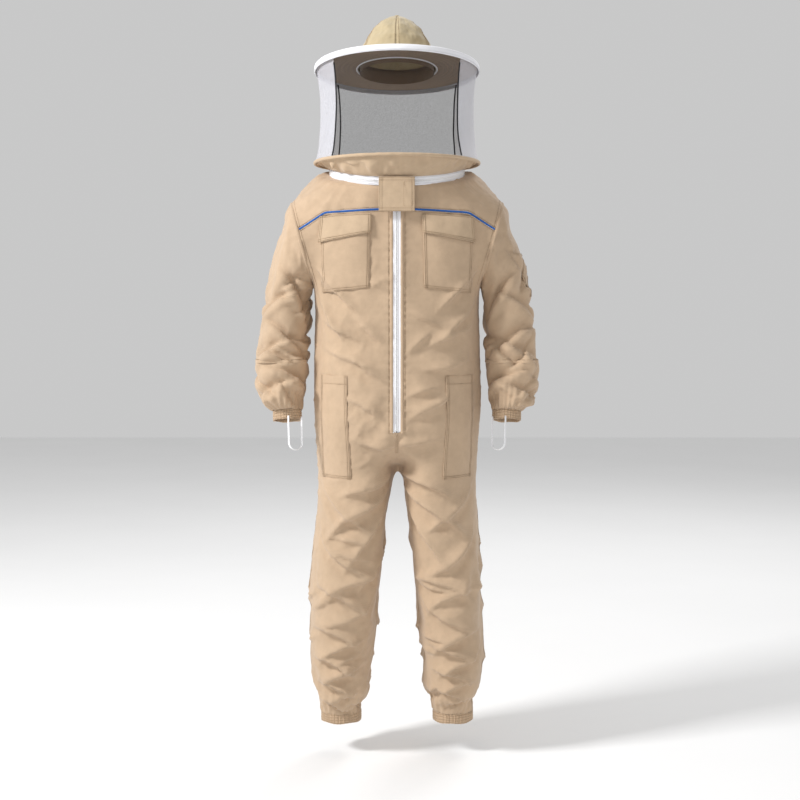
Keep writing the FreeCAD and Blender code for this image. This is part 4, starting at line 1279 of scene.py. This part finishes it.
def collar_zip():
    a0, a1 = 0.012, 2 * math.pi - 0.012
    turns = np.linspace(a0, a1, 361)
    for name, body, prof, hh in (("lower", "suit", ((-10.0, 167.6), (-6, 167.0), (-3.4, 166.2), (-0.5, 165.8)), -1.9),
                                 ("upper", "hood", ((0.5, 165.8), (3.4, 166.0), (7.5, 165.6), (11.5, 164.4)), 1.9)):
        rows = [[ring_at(t, r + 0.5 * noise.noise(Vector((t * 9, h * 0.05, 1))), h) for t in turns] for h, r in prof]
        tape = grid_mesh("collar_tape_" + name, rows, WHITE_TAPE, 0.0007)
        coil = Batch()
        for k, t in enumerate(np.arange(a0, a1, 0.0092)):
            out = X * math.sin(t) - RING_V * math.cos(t)
            along = X * math.cos(t) + RING_V * math.sin(t)
            shift = 0.0046 / 2 if name == "upper" else 0.0
            teeth(coil, ring_at(t + shift, 165.9, hh * 0.95), along, out, RING_N, (0.0011, 0.0016, 0.0034))
        coil = coil.build("collar_coil_" + name, COIL)
        thread = Batch()
        h = prof[1 if name == "lower" else 2][0]
        p = np.array([ring_at(t, prof[1 if name == "lower" else 2][1] + 0.6, h) for t in turns])
        n = np.array([X * math.sin(t) - RING_V * math.cos(t) for t in turns])
        stitch(thread, p, n)
        st = thread.build("collar_stitches_" + name, WHITE_TAPE)
        for o, slot in ((tape, "white_trim"), (coil, "white_zip"), (st, "white_trim")):
            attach(slotted(o), body)
        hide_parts(f"collar_zip_{name}_tape")
        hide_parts(f"collar_zip_{name}_coil")


def throat_flap():
    us, vs = np.linspace(0, 1, 30), np.linspace(0, 1, 28)
    rows, nor = [], []
    for v in vs:
        row = []
        for u in us:
            x = -42.5 + 85.0 * u
            z = -31.0 - 81.0 * v
            y = -170.9 - 1.3 * math.sin(math.pi * u) * math.sin(math.pi * v) ** 0.6 + 1.0 * v * (2 * u - 1) ** 2
            y += 0.7 * noise.noise(Vector((x * 0.05, z * 0.06, 4.0)))
            x += 0.8 * (v * (1 - v)) * (1 if u > 0.5 else -1) * abs(2 * u - 1)
            row.append((x * MM, y * MM, z * MM))
        rows.append(row)
    flap = grid_mesh("throat_flap_cloth", rows, KHAKI_FLAP, 0.0026, offset=0.0)
    m = flap.modifiers.new("b", "BEVEL")
    m.width, m.segments, m.limit_method = 0.0007, 2, "ANGLE"
    evaluated(flap)
    flap.data.polygons.foreach_set("use_smooth", [True] * len(flap.data.polygons))
    g = np.array(rows) + (0, -0.0013, 0)
    n = np.tile(np.array([0.0, -1, 0]), (g.shape[0], g.shape[1], 1))
    st = Batch()
    edge_rows(st, g, n, (0.7, 0.7), "lrbt")
    edge_rows(st, g, n, (2.6, 2.6), "lrbt")
    corners = [g[4, -10], g[4, -3], g[-5, -3], g[-5, -10]]
    path = resample([corners[k] for k in (0, 1, 2, 3, 0, 2)], 0.003)
    stitch(st, path, np.tile([0, -1.0, 0], (len(path), 1)))
    st = st.build("throat_flap_stitches", THREAD)
    for o in (flap, st):
        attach(slotted(o), "throat_flap")
    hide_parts("throat_flap")
    for name, body, slot, box, y0, up in (
            ("hook_tape_pile", "throat_flap", "hook_tape", (0.0243, 0.0397, -0.1055, -0.0375), -0.1689, 1),
            ("loop_tape_pile", "suit", "hook_tape", (0.0243, 0.0397, -0.1035, -0.0605), -0.1592, -1)):
        xs, zs = np.linspace(box[0], box[1], 20), np.linspace(box[2], box[3], 70)
        rng = np.random.default_rng(5)
        pile = rng.uniform(0, 0.0005, (len(zs), len(xs)))
        rows = [[(x, y0 + up * (0.0010 + pile[j, i]), z) for i, x in enumerate(xs)] for j, z in enumerate(zs)]
        tape = grid_mesh(name, rows, VELCRO, 0.0008)
        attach(slotted(tape), body)
        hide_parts("throat_hook_tape" if up > 0 else "throat_loop_tape")


def gathered_band(name, start, direction, length, r_in, r_out, lobes, seed, mat):
    """An elasticated hem: puckered tube with stitched channels and a turned edge."""
    d = unit(direction)
    a = unit(np.cross(d, Y) if abs(d @ Y) < 0.9 else np.cross(d, X))
    b = np.cross(d, a)
    rng = np.random.default_rng(seed)
    n = 288
    t = 2 * np.pi * np.arange(n) / n
    phase = rng.uniform(0, 6.28, 4)
    ruffle = (np.cos(lobes * t + phase[0] + 1.3 * np.sin(3 * t + phase[1]))
              + 0.5 * np.cos((lobes * 1.6 // 1) * t + phase[2]))
    rows = []
    mid, half = (r_in + r_out) / 2, (r_out - r_in) / 2
    for k in np.linspace(0, 1, 30):
        pinch = 1 - 0.8 * sum(math.exp(-((k - c) / 0.055) ** 2) for c in (0.12, 0.38, 0.64, 0.9))
        r = mid + half * 0.35 + half * 0.55 * ruffle * pinch * 0.55 + half * 0.25 * pinch
        swing = 0.0010 * np.sin(5 * t + k * 4 + phase[3])
        rows.append(start + np.outer(np.ones(n), d) * (length * k + swing[:, None])
                    + (np.outer(np.cos(t), a) + np.outer(np.sin(t), b)) * (r * MM)[:, None])
    for k in (0.99, 0.9, 0.5, 0.0):
        r = r_in + 0.9 + 0.25 * ruffle
        rows.append(start + np.outer(np.ones(n), d) * length * k
                    + (np.outer(np.cos(t), a) + np.outer(np.sin(t), b)) * (r * MM)[:, None])
    ob = grid_mesh(name, rows, mat, closed=True)
    bm = bmesh.new()
    bm.from_mesh(ob.data)
    bmesh.ops.recalc_face_normals(bm, faces=bm.faces)
    bm.to_mesh(ob.data)
    bm.free()
    st = Batch()
    for j in (4, 11, 19, 26):
        p = np.vstack([rows[j], rows[j][:1]])
        out = p - (start + d * length * j / 29)
        out /= np.linalg.norm(out, axis=1, keepdims=True)
        stitch(st, p + out * 0.0001, out, 0.0034, 0.0024)
    return ob, st.build(name + "_stitches", THREAD)


def cuffs_and_hems():
    for side, s in (("left", 1), ("right", -1)):
        flip = np.array([s, 1, 1])
        d = CUFF_DIR * flip
        start = CUFF_AT * flip * MM
        ob, st = gathered_band("cuff_cloth_" + side, start, d, 0.024, 31, 36, 30, 3 + s, ELASTIC)
        for o in (ob, st):
            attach(slotted(o), "forearm_" + side)
        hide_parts("cuff_" + side)
        ob, st = gathered_band("ankle_cloth_" + side, ANKLE * flip * MM, -Z, 0.024, 46, 52, 38, 8 + s, ELASTIC)
        for o in (ob, st):
            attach(slotted(o), "shin_" + side)
        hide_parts("ankle_hem_" + side)
        radial = unit([-0.55, -0.82, 0])
        radial = unit(radial - CUFF_DIR * (radial @ CUFF_DIR))
        tangent = np.cross(CUFF_DIR, radial)
        top = CUFF_AT + CUFF_DIR * 24.6 + radial * 36.2
        r, straight = 18.3, 59.0
        path = [top - tangent * r + CUFF_DIR * k for k in np.linspace(-6, straight, 16)]
        path += [top + CUFF_DIR * straight + (-tangent * math.cos(q) + CUFF_DIR * math.sin(q)) * r
                 for q in np.linspace(0.15, math.pi - 0.15, 18)]
        path += [top + tangent * r + CUFF_DIR * k for k in np.linspace(straight, -6, 16)]
        path = np.array(path)
        tan = np.gradient(path, axis=0)
        n = np.cross(tan, radial)
        n /= np.linalg.norm(n, axis=1, keepdims=True)
        sway = np.array([noise.noise(Vector(p) * 0.03) for p in path])[:, None] * 1.2
        path = path + radial * sway
        v, f = strip_data(path * flip * MM, n * flip, 0.008, 0.0015, 12)
        loop = paint(make("thumb_loop_cloth_" + side, v, f), WHITE_LOOP)
        bm = bmesh.new()
        bm.from_mesh(loop.data)
        bmesh.ops.recalc_face_normals(bm, faces=bm.faces)
        bm.to_mesh(loop.data)
        bm.free()
        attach(slotted(loop), "forearm_" + side)
        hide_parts("thumb_loop_" + side)


def waist():
    """Elastic gathered inside the back of the waist."""
    xs = np.linspace(-0.150, 0.150, 90)
    rows = []
    for z in np.linspace(-0.401, -0.439, 12):
        row = []
        for i, x in enumerate(xs):
            u = abs(x) / 0.198
            y = -0.017 + 0.137 * (1 - u ** 2.5) ** 0.4 - 0.0045
            row.append((x, y - 0.0012 * (1 + math.sin(i * 1.9 + math.sin(z * 300))) / 2, z))
        rows.append(row)
    ob = grid_mesh("waist_elastic_cloth", rows, ELASTIC, 0.0012)
    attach(slotted(ob), "suit")
    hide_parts("waist_elastic")


# ---- hood ------------------------------------------------------------------------------------
def brim_point(x, y, h):
    return BRIM_C + X * x * MM + BRIM_V * y * MM + BRIM_N * h * MM


def crown():
    n = 240
    t = 2 * np.pi * np.arange(n) / n
    knots = np.array([(0, 98, 108), (28, 94, 104), (60, 83, 93), (88, 66, 75), (110, 44, 50), (124, 20, 23),
                      (129.5, 4, 5)], float)
    hs = np.concatenate([np.linspace(0, 110, 44, endpoint=False), np.linspace(110, 129.5, 14)])
    seams = np.arange(6) * math.pi / 3 + math.pi / 6
    rows, outs = [], []
    for h in hs:
        a, b = (np.interp(h, knots[:, 0], knots[:, k]) for k in (1, 2))
        row, out = [], []
        for q in t:
            d = Vector((math.cos(q) * 1.5, math.sin(q) * 1.5, h / 60))
            dent = 6.0 * noise.noise(d * 1.2) + 3.0 * noise.noise(d * 2.9 + Vector((3, 1, 2))) \
                + 0.9 * noise.noise(d * 7)
            dent *= min(1.0, max(0.0, h - 24) / 26) * min(1.0, (140 - h) / 40)
            gap = min(abs((q - s + math.pi) % (2 * math.pi) - math.pi) for s in seams) * a
            dent -= 1.0 * math.exp(-(gap / 2.6) ** 2) - 0.9 * math.exp(-((gap - 6) / 3.5) ** 2)
            dent += 0.5 * math.exp(-(gap / 9) ** 2) * math.sin(h * 0.9 + q)
            row.append(brim_point((a + dent) * math.cos(q), (b + dent) * math.sin(q), h))
            out.append(unit(BRIM_V * math.sin(q) + X * math.cos(q) + BRIM_N * (0.15 + h / 110)))
        rows.append(row)
        outs.append(out)
    tip = brim_point(0, 0, 130.2)
    ob = grid_mesh("crown_cloth", rows, HAT, closed=True)
    bm = bmesh.new()
    bm.from_mesh(ob.data)
    bm.verts.ensure_lookup_table()
    last = [bm.verts[(len(rows) - 1) * n + k] for k in range(n)]
    peak = bm.verts.new(tip)
    for k in range(n):
        bm.faces.new((last[k], last[(k + 1) % n], peak))
    bmesh.ops.recalc_face_normals(bm, faces=bm.faces)
    bm.to_mesh(ob.data)
    bm.free()
    ob.data.polygons.foreach_set("use_smooth", [True] * len(ob.data.polygons))
    m = ob.modifiers.new("s", "SOLIDIFY")
    m.thickness, m.offset = 0.0016, -1.0
    evaluated(ob)
    st = Batch()
    g, o = np.array(rows), np.array(outs)
    for s in seams:
        for by in (-0.055, 0.055):
            k = int(round((s + by) / (2 * math.pi) * n)) % n
            stitch(st, g[:54, k] + o[:54, k] * 0.0003, o[:54, k])
    for j in (3, 5):
        stitch(st, np.vstack([g[j], g[j][:1]]) + np.vstack([o[j], o[j][:1]]) * 0.0003, np.vstack([o[j], o[j][:1]]))
    st = st.build("crown_stitches", THREAD)
    button = []
    for k in np.linspace(0, 1, 8):
        r = 7.5 * math.cos(k * math.pi / 2) ** 0.6 + 0.1
        button.append([brim_point(r * math.cos(q), r * math.sin(q), 129.6 + 3.0 * math.sin(k * math.pi / 2))
                       for q in t[::6]])
    knob = grid_mesh("crown_button", button, HAT, closed=True)
    for x in (ob, st, knob):
        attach(slotted(x), "hood")
    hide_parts("hat_crown")


def brim():
    n = 320
    t = 2 * np.pi * np.arange(n) / n
    rows = []
    shares = np.linspace(0, 1, 34)

    def wave(q, k):
        return 1.8 * k * math.sin(3 * q + 0.8) * 0.6 \
            + 0.8 * k * noise.noise(Vector((math.cos(q) * 2, math.sin(q) * 2, k * 2)))

    def at(q, k, h):
        a, b = 98 + (BRIM_R + 1.5 - 98) * k, 108 + (BRIM_R + 1.5 - 108) * k
        return brim_point(a * math.cos(q), b * math.sin(q), h + wave(q, k) * (1 - k) * 2)

    for k in shares:
        ridge = 0.35 * math.cos(k * 2 * math.pi * 9)
        rows.append([at(q, k, 1.7 + ridge) for q in t])
    top = grid_mesh("brim_top", rows, HAT, closed=True)
    # the brim's underside is coloured darker as painted shade
    under = [[at(q, k, -1.5 - 0.3 * math.cos(k * 2 * math.pi * 9)) for q in t] for k in shares]
    under = grid_mesh("brim_under", under, BRIM_UNDER_SHADE, closed=True)
    under.data.flip_normals()
    st, st2 = Batch(), Batch()
    for c in range(9):
        k = (c + 0.5) / 9
        p = np.array([at(q, k, 1.35) for q in np.append(t, t[:1])])
        stitch(st, p, np.tile(BRIM_N, (len(p), 1)), 0.005, 0.0034)
        p = np.array([at(q, k, -1.2) for q in np.append(t, t[:1])])
        stitch(st2, p, np.tile(-BRIM_N, (len(p), 1)), 0.005, 0.0034)
    st, st2 = st.build("brim_stitches", THREAD), st2.build("brim_under_stitches", THREAD)
    # white tape round the outer edge and the edge of the head opening
    prof = ((-12.5, 201.9), (-8, 202.6), (-3, 202.9), (0.5, 202.6), (2.6, 201.2), (3.0, 198.5), (2.4, 196.0))
    edge = []
    for h, r in prof:
        edge.append([brim_point((r + 0.35 * noise.noise(Vector((q * 30, h * 0.2, 0)))) * math.cos(q),
                                (r + 0.35 * noise.noise(Vector((q * 30, h * 0.2, 0)))) * math.sin(q), h) for q in t])
    band = grid_mesh("brim_edge_tape", edge, WHITE_TAPE, 0.0009, closed=True)
    es = Batch()
    for j, h in ((1, -9.5), (4, 2.9)):
        r = 203.2 if h < 0 else 199.6
        p = np.array([brim_point(r * math.cos(q), r * math.sin(q), h) for q in np.append(t, t[:1])])
        nn = np.array([X * math.cos(q) + BRIM_V * math.sin(q) if h < 0 else BRIM_N for q in np.append(t, t[:1])])
        stitch(es, p, nn)
    es = es.build("brim_edge_stitches", WHITE_TAPE)
    lip = np.array([brim_point(98.5 * math.cos(q), 108.5 * math.sin(q), -2.6) for q in t])
    ln = np.tile(BRIM_N, (n, 1))
    opening = paint(make("head_opening_edge", *strip_data(lip, ln, 0.0046, 0.0030, 10, True)), WHITE_TAPE)
    sweat = []
    for h, g in ((-12, 0.8), (-6, 0.2), (2, 0.0), (12, 0.2), (24, 0.9), (23.5, 2.0), (10, 1.7), (-11.5, 2.2)):
        sweat.append([brim_point((89.5 + g) * math.cos(q), (99.5 + g) * math.sin(q), h) for q in t])
    # the sweatband under the brim takes the same darker painted-shade khaki
    sweat = grid_mesh("sweatband_cloth", sweat, BRIM_UNDER_SHADE, closed=True)
    for x, slot in ((top, "hat_khaki"), (under, "hat_khaki"), (st, "hat_khaki"), (st2, "hat_khaki"),
                    (band, "white_trim"), (es, "white_trim"), (opening, "white_trim"), (sweat, "hat_khaki")):
        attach(slotted(x), "hood")
    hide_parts("hat_brim")
    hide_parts("brim_binding")
    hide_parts("sweatband")


def veil(net, skirt):
    """Parts the settled net into panels and adds its seams, hoop binding and skirt."""
    finer(net, 1)
    co = coords(net)
    centre = np.array([co[list(p.vertices)].mean(0) for p in net.data.polygons])
    turn = np.degrees(np.arctan2(centre[:, 0], -centre[:, 1]))
    masks = (("front_net_cloth", np.abs(turn) < 50, BLACK_NET, "front_net", "black_net"),
             ("back_net_cloth", np.abs(turn) > 130, BLACK_NET, "back_net", "black_net"),
             ("side_net_left", (turn >= 50) & (turn <= 130), WHITE_NET, "veil_side_left", "white_net"),
             ("side_net_right", (turn <= -50) & (turn >= -130), WHITE_NET, "veil_side_right", "white_net"))
    for name, mask, mat, nodename, slot in masks:
        ob = take(net, mask, name, mat)
        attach(slotted(ob), "hood")
        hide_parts(nodename)
    tree = surface(net)
    for name, deg in (("net_seam_a", 50), ("net_seam_b", -50), ("net_seam_c", 130), ("net_seam_d", -130)):
        a = math.radians(deg)
        out = Vector((math.sin(a), -math.cos(a), 0))
        pts = []
        for z in np.linspace(0.243, 0.0235, 60):
            hit = tree.ray_cast(Vector((0, 0, z)), out, 0.3)
            if hit[0] is not None:
                pts.append(hit[0])
        p = evened(pts, 2)
        n = np.tile(out, (len(p), 1))
        seam = paint(make(name, *strip_data(p, n, 0.0052, 0.0024, 8)), BLACK_THREAD)
        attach(slotted(seam), "hood")
    # hoop binding: cloth gathered round the wire
    n, m = 360, 16
    rows = []
    for i in range(m):
        b = 2 * math.pi * i / m
        row = []
        for k in range(n):
            a = 2 * math.pi * k / n
            r = 3.6 + 0.4 * noise.noise(Vector((a * 40, math.cos(b) * 0.6, math.sin(b) * 0.6))) \
                + 0.12 * math.sin(a * 170 + b)
            rad = HOOP_R + r * math.cos(b)
            row.append((rad * math.cos(a) * MM, rad * math.sin(a) * MM, (HOOP_Z + r * math.sin(b) * 1.15) * MM))
        rows.append(row)
    rows.append(rows[0])
    hoop = grid_mesh("hoop_binding_cloth", rows, KHAKI_FLAP, closed=True)
    bm = bmesh.new()
    bm.from_mesh(hoop.data)
    bmesh.ops.remove_doubles(bm, verts=bm.verts, dist=1e-6)
    bmesh.ops.recalc_face_normals(bm, faces=bm.faces)
    bm.to_mesh(hoop.data)
    bm.free()
    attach(slotted(hoop), "hood")
    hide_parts("hoop_binding")
    finer(skirt, 1)
    paint(skirt, KHAKI_FLAP)
    skirt.name = "veil_skirt"
    skirt.data.polygons.foreach_set("use_smooth", [True] * len(skirt.data.polygons))
    s = skirt.modifiers.new("s", "SOLIDIFY")
    s.thickness, s.offset = 0.0008, 0.0
    evaluated(skirt)
    skirt.data.polygons.foreach_set("use_smooth", [True] * len(skirt.data.polygons))
    skirt.name = "veil_skirt_gathered"
    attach(slotted(skirt), "hood")
    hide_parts("veil_skirt")


# ---- floor, light, camera --------------------------------------------------------------------
def studio():
    corners = [(-9, -9, -1.462), (9, -9, -1.462), (9, 9, -1.462), (-9, 9, -1.462)]
    floor = make("floor", corners, [(0, 1, 2, 3)], False)
    m, nt, b = shader("floor_paper", 0.9, Specular_IOR_Level=0.2)
    co = node(nt, "ShaderNodeTexCoord").outputs["Object"]
    spot = blur(nt, co, 1.5)
    mix = node(nt, "ShaderNodeMix", [(spot.outputs[0], "Factor")], data_type="RGBA")
    mix.inputs["A"].default_value, mix.inputs["B"].default_value = (0.86, 0.86, 0.86, 1), (0.90, 0.90, 0.90, 1)
    nt.links.new(mix.outputs["Result"], b.inputs["Base Color"])
    paint(floor, m)
    world = bpy.data.worlds.new("studio")
    bpy.context.scene.world = world
    world.use_nodes = True
    bg = world.node_tree.nodes["Background"]
    bg.inputs[0].default_value, bg.inputs[1].default_value = (1.0, 1.0, 1.0, 1), 0.58
    for name, at, size, power in (("key", (-3.3, -1.7, 2.1), 0.8, 190), ("fill", (3.4, -2.6, 0.4), 2.4, 15),
                                  ("rim", (1.6, 3.2, 2.6), 1.8, 60)):
        light = bpy.data.lights.new(name, "AREA")
        light.energy, light.size = power, size
        ob = bpy.data.objects.new(name, light)
        bpy.context.scene.collection.objects.link(ob)
        ob.location = at
        ob.rotation_euler = (Vector((0, 0, -0.5)) - Vector(at)).to_track_quat("-Z", "Y").to_euler()
    bpy.context.scene.view_settings.view_transform = "Standard"
    cam = bpy.data.cameras.new("camera")
    cam.sensor_width, cam.lens = 36.0, 61.4
    ob = bpy.data.objects.new("camera", cam)
    bpy.context.scene.collection.objects.link(ob)
    ob.location = (0.0075, -3.41, -0.36)
    ob.rotation_euler = (math.radians(86.5), 0, 0)
    bpy.context.scene.camera = ob


def cad_finishes():
    for name, mat in (("front_zip_slider", NICKEL), ("front_zip_pull", NICKEL), ("collar_zip_slider", NICKEL),
                      ("collar_zip_pull", NICKEL), ("brim_hoop_wire", STEEL), ("lower_hoop_wire", STEEL)):
        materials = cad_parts[name].data.materials
        materials.clear()
        materials.append(mat)


# ---- put together ----------------------------------------------------------------------------
cover, tags, sleeves, skirt, net = make_cloths()
parts = dress_coverall(cover, sleeves)
suit_tree = seams(parts)
pockets(parts)
front_zip(suit_tree)
collar_zip()
throat_flap()
cuffs_and_hems()
waist()
crown()
brim()
veil(net, skirt)
for ob in (cover, net):
    bpy.data.objects.remove(ob)
studio()
cad_finishes()
bpy.context.view_layer.update()
